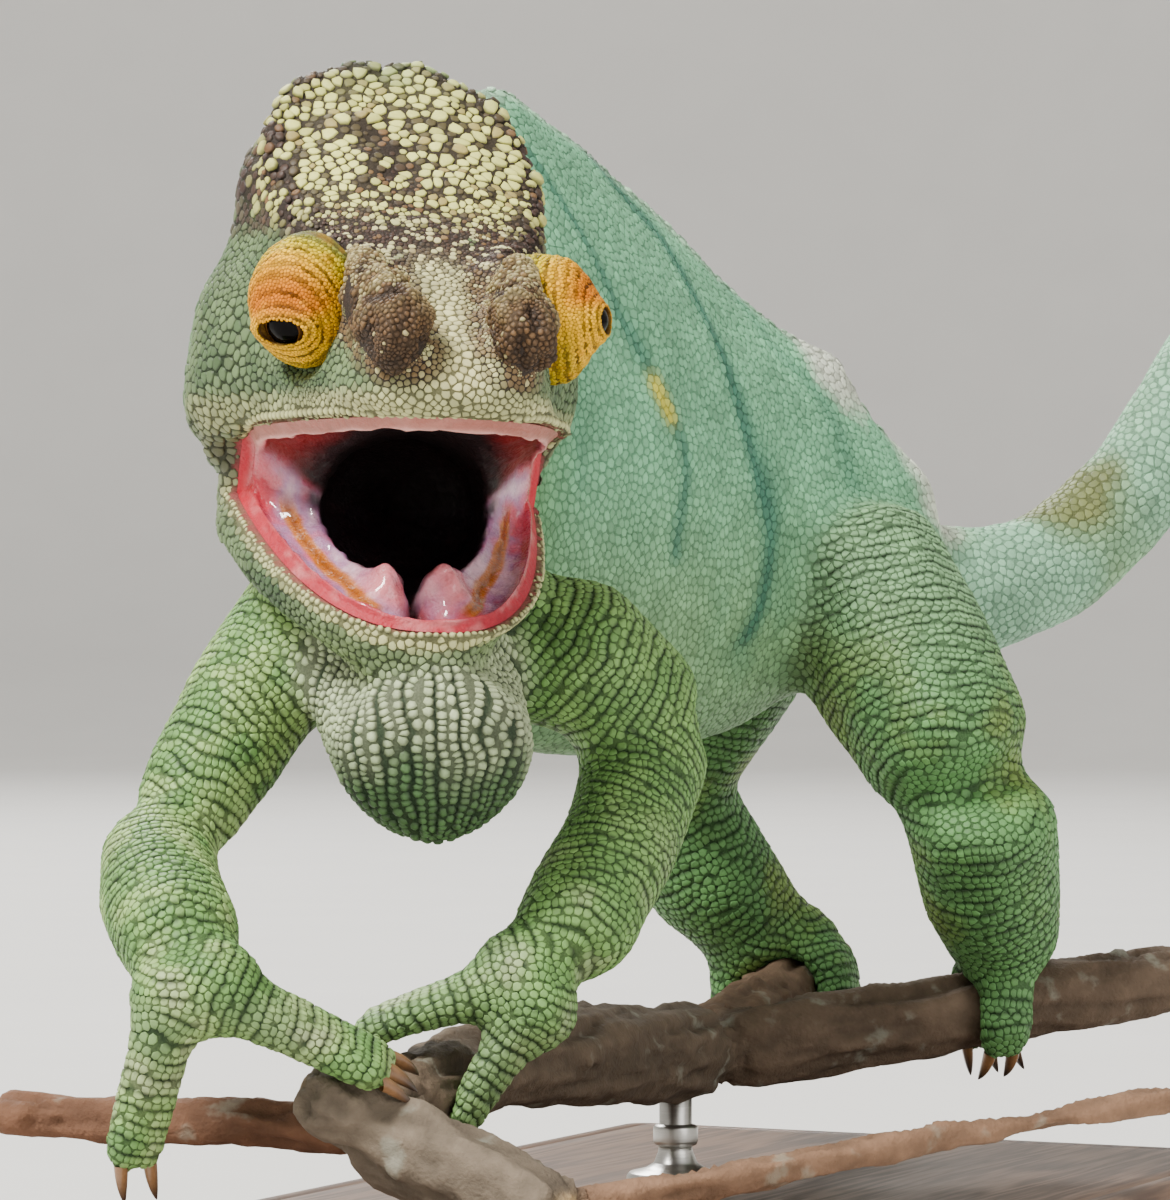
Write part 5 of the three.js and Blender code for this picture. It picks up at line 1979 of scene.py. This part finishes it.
@dataclass
class EyeTurret:
    """The cone of scaly lid round one eye."""

    eye: Eye
    wide: float = 8.8
    tall: float = 10.5
    around: int = 120
    fold: float = 0.08
    fold_pitch: float = 1.7

    PROFILE = (
        (-6.5, 0.93), (-3.5, 1.01), (0, 1.0), (2.6, 0.95), (4.8, 0.83), (6.6, 0.66), (7.9, 0.50),
        (8.5, 0.41), (8.7, 0.36), (8.35, 0.33), (7.6, 0.34), (6.4, 0.38),
    )

    def build(self) -> None:
        """Makes the lid and its beads."""
        place = self.eye.place()
        along, share = self._fine(self.PROFILE)
        run = np.concatenate([[0], np.cumsum(np.hypot(np.diff(along), 9 * np.diff(share)))])
        rim = run[np.argmax(along)]
        fold = self.fold * np.cos((run - rim) * FULL_TURN / self.fold_pitch)
        fold = fold * step(run, rim + 0.2, rim - 0.8)
        turn = round_steps(self.around)
        squash = step(along, 3.0, 8.6)[:, None]
        wide = share * self.wide * (1 + 0.34 * step(along, 6.0, 8.4)) + fold
        tall = share * (self.tall + (self.wide * 0.74 - self.tall) * squash[:, 0]) + fold
        x, y = wide[:, None] * np.cos(turn), tall[:, None] * np.sin(turn)
        z = np.repeat(along[:, None], self.around, axis=1) + 0.3 * np.sin(turn * 2 + 1) * (1 - squash)
        surface = sheet_of_rings(place.outer(np.stack([x, y, z], axis=-1)))
        surface.points += surface.normals() * (0.22 * layered(surface.points, 4, 71))[:, None]
        spread = np.repeat(run - rim, self.around)
        hue = self._colours(surface.points, place, spread)
        # painted shade: the lid's skin under the beads is darkened, dark brown deep in the grooves between
        # rings
        under = mixed(hue * 0.6, paint(70, 40, 10), 0.85 * self._groove(spread))
        name, finish = self.eye.name, SkinFinish("turret_skin")
        lid = surface.to_object(f"eye_lid_{name}", finish.material(), hue=under)
        dress(lid, "turret_skin", f"eye_turret_{name}")
        self._add_beads(surface, hue, place, spread)

    def _groove(self, spread: Array) -> Array:
        """How deep in a groove between two rings each spot is, 0 to 1."""
        return np.clip(0.5 - 0.5 * np.cos(spread * FULL_TURN / self.fold_pitch), 0, 1) ** 4

    @staticmethod
    def _fine(profile: Sequence[Pair], each: int = 6) -> tuple[Array, Array]:
        """A profile drawn through more points."""
        marks = np.arange(len(profile))
        fine = np.linspace(0, len(profile) - 1, (len(profile) - 1) * each + 1)
        given = np.array(profile)
        columns = [np.interp(fine, marks, given[:, k]) for k in range(2)]
        for _ in range(3):
            for column in columns:
                column[1:-1] = 0.25 * column[:-2] + 0.5 * column[1:-1] + 0.25 * column[2:]
        return columns[0], columns[1]

    def _colours(self, points: Array, place: Place, spread: Array) -> Array:
        """Yellow with an orange brow over the pupil, greener where it meets the socket, and olive low on
        its side by painted shade.
        """
        _, y, z = place.inner(points).T
        return painted(
            paint(246, 186, 0),
            (paint(208, 112, 0), 0.95 * step(y, 0.3, 3.5) * hump(z - 6.2, 3.0)),
            (paint(206, 190, 8), step(z, 2.4, -2.4) * 0.85),
            # painted shade: olive on the lower side of the turret
            (paint(150, 142, 24), 0.6 * step(y, 0, -6) * step(z, 6.5, 3)),
            (paint(122, 132, 66), step(z, -1.5, -5) * 0.9),
            (paint(232, 156, 0), 0.4 * step(layered(points, 2.4, 72), 0.1, 0.7)),
            (paint(80, 50, 10), 0.8 * step(spread, -0.45, 0.2)),
        )

    def _add_beads(self, surface: Surface, hue: Array, place: Place, spread: Array) -> None:
        """Makes the lid's tiny scales, ring by ring smaller towards the pupil."""
        z = place.inner(surface.points)[:, 2]
        sizes = np.interp(z, [-5.0, 3.0, 8.6], [0.72, 0.58, 0.46])
        sizes = np.where((spread < -0.1) & (z > -4.5), sizes, 0)
        towards = np.tile(place.axes[2], (len(z), 1))
        roots = Sower(surface, sizes, towards, seed=11 + self.eye.side, passes=2).sow()
        roots = roots.kept(sizes[roots.rows] > 0)
        # painted shade: beads that lie in the grooves between rings are darker
        groove = self._groove(spread[roots.rows] + 0.3 * noise(roots.points, 4, 73))
        groove = groove * step(noise(roots.points, 3, 74), -1.0, -0.1)
        tone = (1 - 0.85 * groove) * (0.88 + 0.24 * np.random.default_rng(4).random(len(groove)))
        hues = hue[roots.rows] * tone[:, None]
        flat = place.inner(roots.points)
        places = 0.5 + 0.4 * flat[:, :2] / self.tall * (1.2 - 0.06 * flat[:, 2:])
        finish, kind = ScaleFinish("turret_scales", 0.5, 0.12), ScaleKind(0.55, 0.12, 0.6, 0.8, sides=6)
        name = f"coat_eye_{self.eye.name}"
        add_beads(name, "turret_skin", finish, kind, roots, (hues, np.ones(len(hues))), places)


@dataclass
class Eyeball:
    """One glossy eyeball, all that the lid's small opening lets be seen of it."""

    eye: Eye
    radius: float = 5.15
    along: float = 3.4
    pupil: float = 33.0
    iris: float = 36.0
    around: int = 64

    def build(self) -> None:
        """Makes it."""
        tilt = np.radians(np.concatenate([np.linspace(0.4, 40, 40), np.linspace(43, 179.6, 24)]))
        bulge = 1 + 0.06 * hump(np.degrees(tilt), 16)
        out, depth = np.sin(tilt) * self.radius * bulge, np.cos(tilt) * self.radius * bulge + self.along
        rings = lathed(np.column_stack([out, depth]), self.around)
        surface = sheet_of_rings(self.eye.place().outer(rings))
        degrees = np.repeat(np.degrees(tilt), self.around)
        ragged = degrees + 1.2 * noise(surface.points, 0.8, 81)
        hue = painted(
            paint(74, 46, 18),
            (paint(104, 66, 20), hump(ragged - self.pupil - 1.2, 1.2)),
            (paint(6, 4, 4), step(ragged, self.pupil + 0.5, self.pupil - 0.5)),
            (paint(40, 26, 14), step(degrees, self.iris + 2, self.iris + 8)),
        )
        piece = surface.to_object(f"eye_{self.eye.name}", EyeFinish().material(), hue=hue)
        dress(piece, "eyeball", f"eyeball_{self.eye.name}")


# ---- horns and claws ----


@dataclass
class Horn:
    """One blunt warty horn over the snout."""

    name: str
    sign: int
    wart: float = 0.86
    voxel: float = 0.6

    def build(self) -> None:
        """Makes the horn's core and its warts."""
        node = f"horn_{self.name}"
        surface = node_surface(node, 0.1).rebuilt(self.voxel)
        surface.softened(np.full(len(surface.points), 0.9), 60)
        shape = 0.9 * layered(surface.points, 6, 91) + 1.1 * self._ridges(surface.points) - 0.6
        surface.points += surface.normals() * shape[:, None]
        # painted shade: the core that shows between the warts is darkened
        hue = self._colours(surface.points) * 0.42
        core = surface.to_object(f"{node}_core", SkinFinish("horn_skin").material(), hue=hue)
        dress(core, "horn", node)
        ahead = np.tile(HEAD.turned((0, -1, -0.3)), (len(hue), 1))
        sizes = self.wart * (1 + 0.4 * noise(surface.points, 2.5, 92))
        roots = Sower(surface, sizes, ahead, seed=21 + self.sign).sow()
        rng = np.random.default_rng(22 + self.sign)
        hues = self._colours(roots.points) * (0.6 + 0.7 * rng.random(len(roots.points)))[:, None]
        flat = HEAD.inner(roots.points)
        high = step(flat @ np.array([0, 0.62, 1.0]), 2, 12)
        hues = mixed(hues, paint(196, 184, 130), 0.65 * (rng.random(len(hues)) < 0.02 + 0.34 * high))
        lifts = 0.8 + 0.5 * rng.random(len(roots.points))
        kind = ScaleKind(self.wart, 0.22, 0.45, 0.45, flat=False, gap=0.06, row_gap=0.06, sides=7)
        finish, places = ScaleFinish("horn_warts", 0.5), flat[:, [1, 2]] / 60 + 0.5
        add_beads(f"coat_{node}", "horn", finish, kind, roots, (hues, lifts), places)

    @staticmethod
    def _ridges(points: Array) -> Array:
        """Uneven upright ridges, from -1 to 1."""
        return layered(HEAD.inner(points) * np.array([1, 0.55, 0.42]), 2.4, 95)

    def _colours(self, points: Array) -> Array:
        """Mottled brown, streaked upright, with paler flecks on top, and darkest low down and in the
        valleys between the ridges by painted shade.
        """
        _, y, z = HEAD.inner(points).T
        top, ridges = z + 0.62 * y, self._ridges(points)
        return painted(
            paint(104, 76, 46),
            (paint(138, 112, 70), step(top, 4, 16)),
            (paint(184, 168, 112), 0.7 * (step(ridges, 0.0, 0.6) * step(top, -7, 9))),
            # painted shade: darkest in the valleys between ridges and low down
            (paint(52, 36, 24), np.clip(0.8 * step(ridges, 0.15, -0.45) + 0.6 * step(z, 14, 6), 0, 0.85)),
        )


@dataclass
class Claws:
    """The curved claws of all four feet."""

    length: float = 7.0
    radius: float = 1.45
    sharp: float = 1.4
    around: int = 20
    steps: int = 16

    def tips(self) -> list[tuple[Array, Array]]:
        """Each claw's tip in the frame and the way that it points."""
        found = []
        for node in FLESH:
            if region_of(node) not in (Region.HAND, Region.FOOT):
                continue
            solid = node_surface(node)
            corners = solid.points[solid.faces]
            angles = np.zeros(len(solid.points))
            for k in range(3):
                first = unit(corners[:, (k + 1) % 3] - corners[:, k])
                second = unit(corners[:, (k + 2) % 3] - corners[:, k])
                np.add.at(angles, solid.faces[:, k], np.arccos(np.clip(dot(first, second), -1, 1)))
            for row in np.flatnonzero(angles < self.sharp):
                ring = np.unique(solid.faces[(solid.faces == row).any(axis=1)])
                ring = ring[ring != row]
                heading = unit(solid.points[row] - solid.points[ring].mean(axis=0))
                found.append((solid.points[row], heading))
        return found

    def build(self, bark: Surface) -> None:
        """Makes the claws, bent down to the bark.

        Args:
            bark: The surface that they grip.
        """
        tree = bark.tree()
        turn = round_steps(self.around)[:, None]
        cosine, sine = np.cos(turn), np.sin(turn)
        pieces, shares = [], []
        for tip, heading in self.tips():
            bend = np.array(tree.find_nearest(Vector(tip))[0]) - tip
            bend = bend - heading * (bend @ heading)
            bend = unit(bend) if np.linalg.norm(bend) > 0.3 else np.array([0, 0, -1.0])
            side = unit(np.cross(heading, bend))
            start = tip - heading * (self.length - 0.8)
            rings, share = [], np.linspace(0, 1, self.steps)
            for t in share:
                middle = start + heading * self.length * t + bend * (1.7 * t**2 - 0.7 * t)
                radius = self.radius * (1 - t**1.6) ** 0.8 + 0.05
                out = unit(bend - heading * (2 * t - 0.7) * 0.3)
                rings.append(middle + cosine * side * radius * 0.72 + sine * out * radius)
            pieces.append(sheet_of_rings(np.stack(rings)))
            shares.append(np.repeat(share, self.around))
        surface = gathered(pieces)
        log.info("claws %d", len(pieces))
        dress(surface.to_object("claws", ClawFinish().material(), tip=np.concatenate(shares)), "claw")


# ---- perch and stand ----


@dataclass
class Perch:
    """The short cut branch and its twigs."""

    voxel: float = 1.2
    fibre: float = 2.2
    shades: dict[str, Array] = field(
        default_factory=lambda: {
            "perch_stem": paint(92, 78, 64),
            "perch_arm_left": paint(96, 80, 66),
            "perch_arm_right": paint(100, 80, 64),
            "perch_stub": paint(112, 100, 86),
            "perch_twig_left": paint(118, 84, 64),
            "perch_twig_right": paint(132, 102, 80),
        }
    )

    def __post_init__(self) -> None:
        """Builds the bark's surface."""
        parts = [node_surface(node, 0.25) for node in self.shades]
        whole = gathered(parts)
        self.surface = whole.rebuilt(self.voxel)
        owners = np.concatenate([np.full(len(part.faces), k) for k, part in enumerate(parts)])
        owner = owners[nearest(whole.tree(), self.surface.points)[2]]
        axes = np.array([long_axis(part.points) for part in parts])
        cut = step(np.abs(dot(self.surface.normals(), axes[owner])), 0.86, 0.96)
        edges = self.surface.edges()
        axis = unit(self.surface.evened(axes[owner], 10, edges))
        hue = self.surface.evened(np.array(list(self.shades.values()))[owner], 8, edges)
        cut = self.surface.evened(cut, 3, edges)
        self.surface.softened(np.full(len(cut), 0.75), 42)
        points, normals = self.surface.points, self.surface.normals()
        drawn = points - axis * (dot(points, axis) * 0.84)[:, None]
        ridges = layered(drawn, self.fibre, 101)
        move = (1 - cut) * (0.75 * ridges + 0.5 * noise(points, 9, 102) - 0.5 * step(ridges, 0.1, -0.9))
        for knot in np.random.default_rng(12).choice(len(points), 26, replace=False):
            gap = gaps_to(points, points[knot])
            move += (1 - cut) * (0.9 * hump(gap, 1.9) - 0.5 * hump(gap - 2.6, 0.8))
        rings = 0.5 + 0.5 * np.sin(gaps_to(drawn, drawn[cut > 0.5].mean(axis=0)) * 5)
        bark = hue * (0.75 + 0.45 * step(ridges, -0.9, 0.9))[:, None]
        wood = mixed(paint(196, 168, 124), paint(150, 116, 78), 0.6 * rings)
        self.hue = mixed(bark, wood, cut)
        self.surface.points = points + normals * move[:, None]

    def build(self) -> None:
        """Makes the branch."""
        piece = self.surface.to_object("branch", BarkFinish().material(), hue=self.hue)
        dress(piece, "bark", *self.shades)


@dataclass
class Stand:
    """The display stand: a moulded wooden base and two steel rods."""

    corner: float = 4.5
    rod: float = 3.0
    foot: float = 9.0
    edge: tuple[Pair, ...] = (
        (3.0, 0.0), (0.9, 0.0), (0.25, 0.3), (0.0, 1.0), (0.0, 3.6), (0.3, 4.4), (1.4, 4.7), (1.9, 5.0),
        (1.9, 5.8), (2.3, 7.2), (3.2, 8.6), (4.8, 9.6), (6.4, 10.0), (9.0, 10.0), (9.4, 9.75), (9.9, 9.75),
        (10.3, 10.0), (14.0, 10.0),
    )

    def _outline(self, low: Array, high: Array, inset: float, each: int = 14) -> Array:
        """A rectangle with round corners, drawn in by some millimetres."""
        radius = max(self.corner + 3 - 0.5 * inset, 1.0)
        middle, half = (low + high) / 2, (high - low) / 2 - inset
        points = []
        for x, y, start in [(1, 1, 0.0), (-1, 1, 90.0), (-1, -1, 180.0), (1, -1, 270.0)]:
            for turn in np.radians(start + np.linspace(0, 90, each)):
                corner = middle + (half - radius) * np.array([x, y])
                points.append(corner + radius * np.array([math.cos(turn), math.sin(turn)]))
        return np.array(points)

    def add_base(self) -> None:
        """Makes the base."""
        low, high = (np.array(corner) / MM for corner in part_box("stand_base"))
        rings = []
        for inset, rise in self.edge:
            outline = self._outline(low[:2], high[:2], inset)
            level = np.full(len(outline), low[2] + rise * (high[2] - low[2]) / 10)
            rings.append(np.column_stack([outline, level]))
        middle = np.append((low[:2] + high[:2]) / 2, high[2])
        for share in (0.5, 0.02):
            rings.append(middle + (rings[-1] - middle) * share)
        bottom = middle - [0, 0, high[2] - low[2]]
        rings.insert(0, bottom + (rings[0] - bottom) * 0.02)
        surface = facing_out(sheet_of_rings(np.stack(rings)))
        dress(surface.to_object("stand_plinth", PlinthFinish().material()), "base_wood", "stand_base")

    def add_rod(self, name: str) -> None:
        """Makes one rod with its foot and collar."""
        low, high = (np.array(corner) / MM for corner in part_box(f"stand_rod_{name}"))
        bottom, top, rod, foot = low[2], high[2], self.rod, self.foot
        profile = [
            (0.1, bottom), (foot - 0.4, bottom), (foot, bottom + 0.4), (foot, bottom + 2.2),
            (foot - 0.5, bottom + 2.9), (rod + 2.6, bottom + 3.6), (rod + 1.0, bottom + 4.6),
            (rod + 0.2, bottom + 6.6), (rod, bottom + 8.0), (rod, top - 9.0), (rod + 0.9, top - 8.6),
            (rod + 1.1, top - 8.0), (rod + 1.1, top - 5.5), (rod + 0.8, top - 5.1), (rod, top - 4.9),
            (rod, top - 0.2), (0.1, top - 0.1),
        ]
        rings = lathed(self._doubled(profile), 48) + np.append((low[:2] + high[:2]) / 2, 0)
        surface = facing_out(sheet_of_rings(rings))
        piece = surface.to_object(f"stand_post_{name}", RodFinish().material())
        dress(piece, "rod_metal", f"stand_rod_{name}")

    @staticmethod
    def _doubled(profile: Sequence[Pair], room: float = 0.12) -> list[Pair]:
        """A profile with a second ring just after and before each corner, which keeps edges crisp."""
        made = [profile[0]]
        for start, end in zip(profile[:-1], profile[1:]):
            run = math.dist(start, end)
            share = min(0.4, room / run)
            made.append(tuple(a + (b - a) * share for a, b in zip(start, end)))
            made.append(tuple(b + (a - b) * share for a, b in zip(start, end)))
        return [*made, profile[-1]]


# ---- studio ----


@dataclass(frozen=True)
class Lamp:
    """One soft area light."""

    name: str
    spot: tuple[float, float, float]
    size: float
    power: float
    colour: Colour = (1.0, 1.0, 1.0)

    def build(self, aim: Vector) -> None:
        """Hangs it, turned to a point."""
        data = bpy.data.lights.new(self.name, "AREA")
        data.shape, data.size, data.energy, data.color = "DISK", self.size, self.power, self.colour
        lamp = bpy.data.objects.new(self.name, data)
        lamp.location = self.spot
        lamp.rotation_euler = (aim - Vector(self.spot)).to_track_quat("-Z", "Y").to_euler()
        bpy.context.scene.collection.objects.link(lamp)


@dataclass
class Studio:
    """Pale paper floor that curves up to a wall, soft lights and the camera."""

    flat: float = 2800.0
    bend: float = 900.0
    wall: float = 1500.0
    camera_spot: tuple[float, float, float] = (0.4036, -0.8540, 0.118)
    camera_way: tuple[float, float, float] = (-0.438, 0.899, 0.0)
    lens: float = 159.4
    lamps: tuple[Lamp, ...] = (
        Lamp("key", (-0.55, -1.25, 1.9), 0.7, 104.0, (1.0, 0.975, 0.93)),
        Lamp("fill", (2.1, -0.7, 0.9), 1.6, 18.0, (1.0, 0.99, 0.96)),
        Lamp("rim", (-1.3, 1.35, 1.6), 1.0, 50.0, (1.0, 0.99, 0.96)),
    )

    def build(self) -> None:
        """Sets the studio up."""
        bends = np.radians(np.linspace(0, 90, 14))
        profile = [(0.5, 0.0), (400.0, 0.0), (1400.0, 0.0)]
        profile += [(self.flat + self.bend * math.sin(b), self.bend * (1 - math.cos(b))) for b in bends]
        profile.append((self.flat + self.bend, self.bend + self.wall))
        floor = sheet_of_rings(lathed(profile, 96))
        floor.to_object("floor_and_backdrop", FloorFinish().material())
        for lamp in self.lamps:
            lamp.build(Vector((0, 0, 0.11)))
        world = bpy.data.worlds.new("studio_air")
        world.use_nodes = True
        background = world.node_tree.nodes["Background"]
        background.inputs["Color"].default_value = (1.0, 0.99, 0.965, 1)
        background.inputs["Strength"].default_value = 0.42
        scene = bpy.context.scene
        scene.world = world
        data = bpy.data.cameras.new("camera")
        data.lens, data.sensor_width, data.clip_start = self.lens, 36.0, 0.01
        data.clip_end = 20.0
        camera = bpy.data.objects.new("camera", data)
        camera.location = self.camera_spot
        camera.rotation_euler = Vector(self.camera_way).to_track_quat("-Z", "Y").to_euler()
        scene.collection.objects.link(camera)
        scene.camera = camera


def main() -> None:
    """Builds the model and its studio."""
    mouth = Mouth()
    mouth.build()
    hide = Hide(mouth)
    hide.build()
    Coat(hide).build()
    for eye in EYES:
        EyeTurret(eye).build()
        Eyeball(eye).build()
    for name, sign in (("right", -1), ("left", 1)):
        Horn(name, sign).build()
    perch = Perch()
    perch.build()
    Claws().build(perch.surface)
    stand = Stand()
    stand.add_base()
    for name in ("front", "rear"):
        stand.add_rod(name)
    Studio().build()


if __name__ == "__main__":
    main()
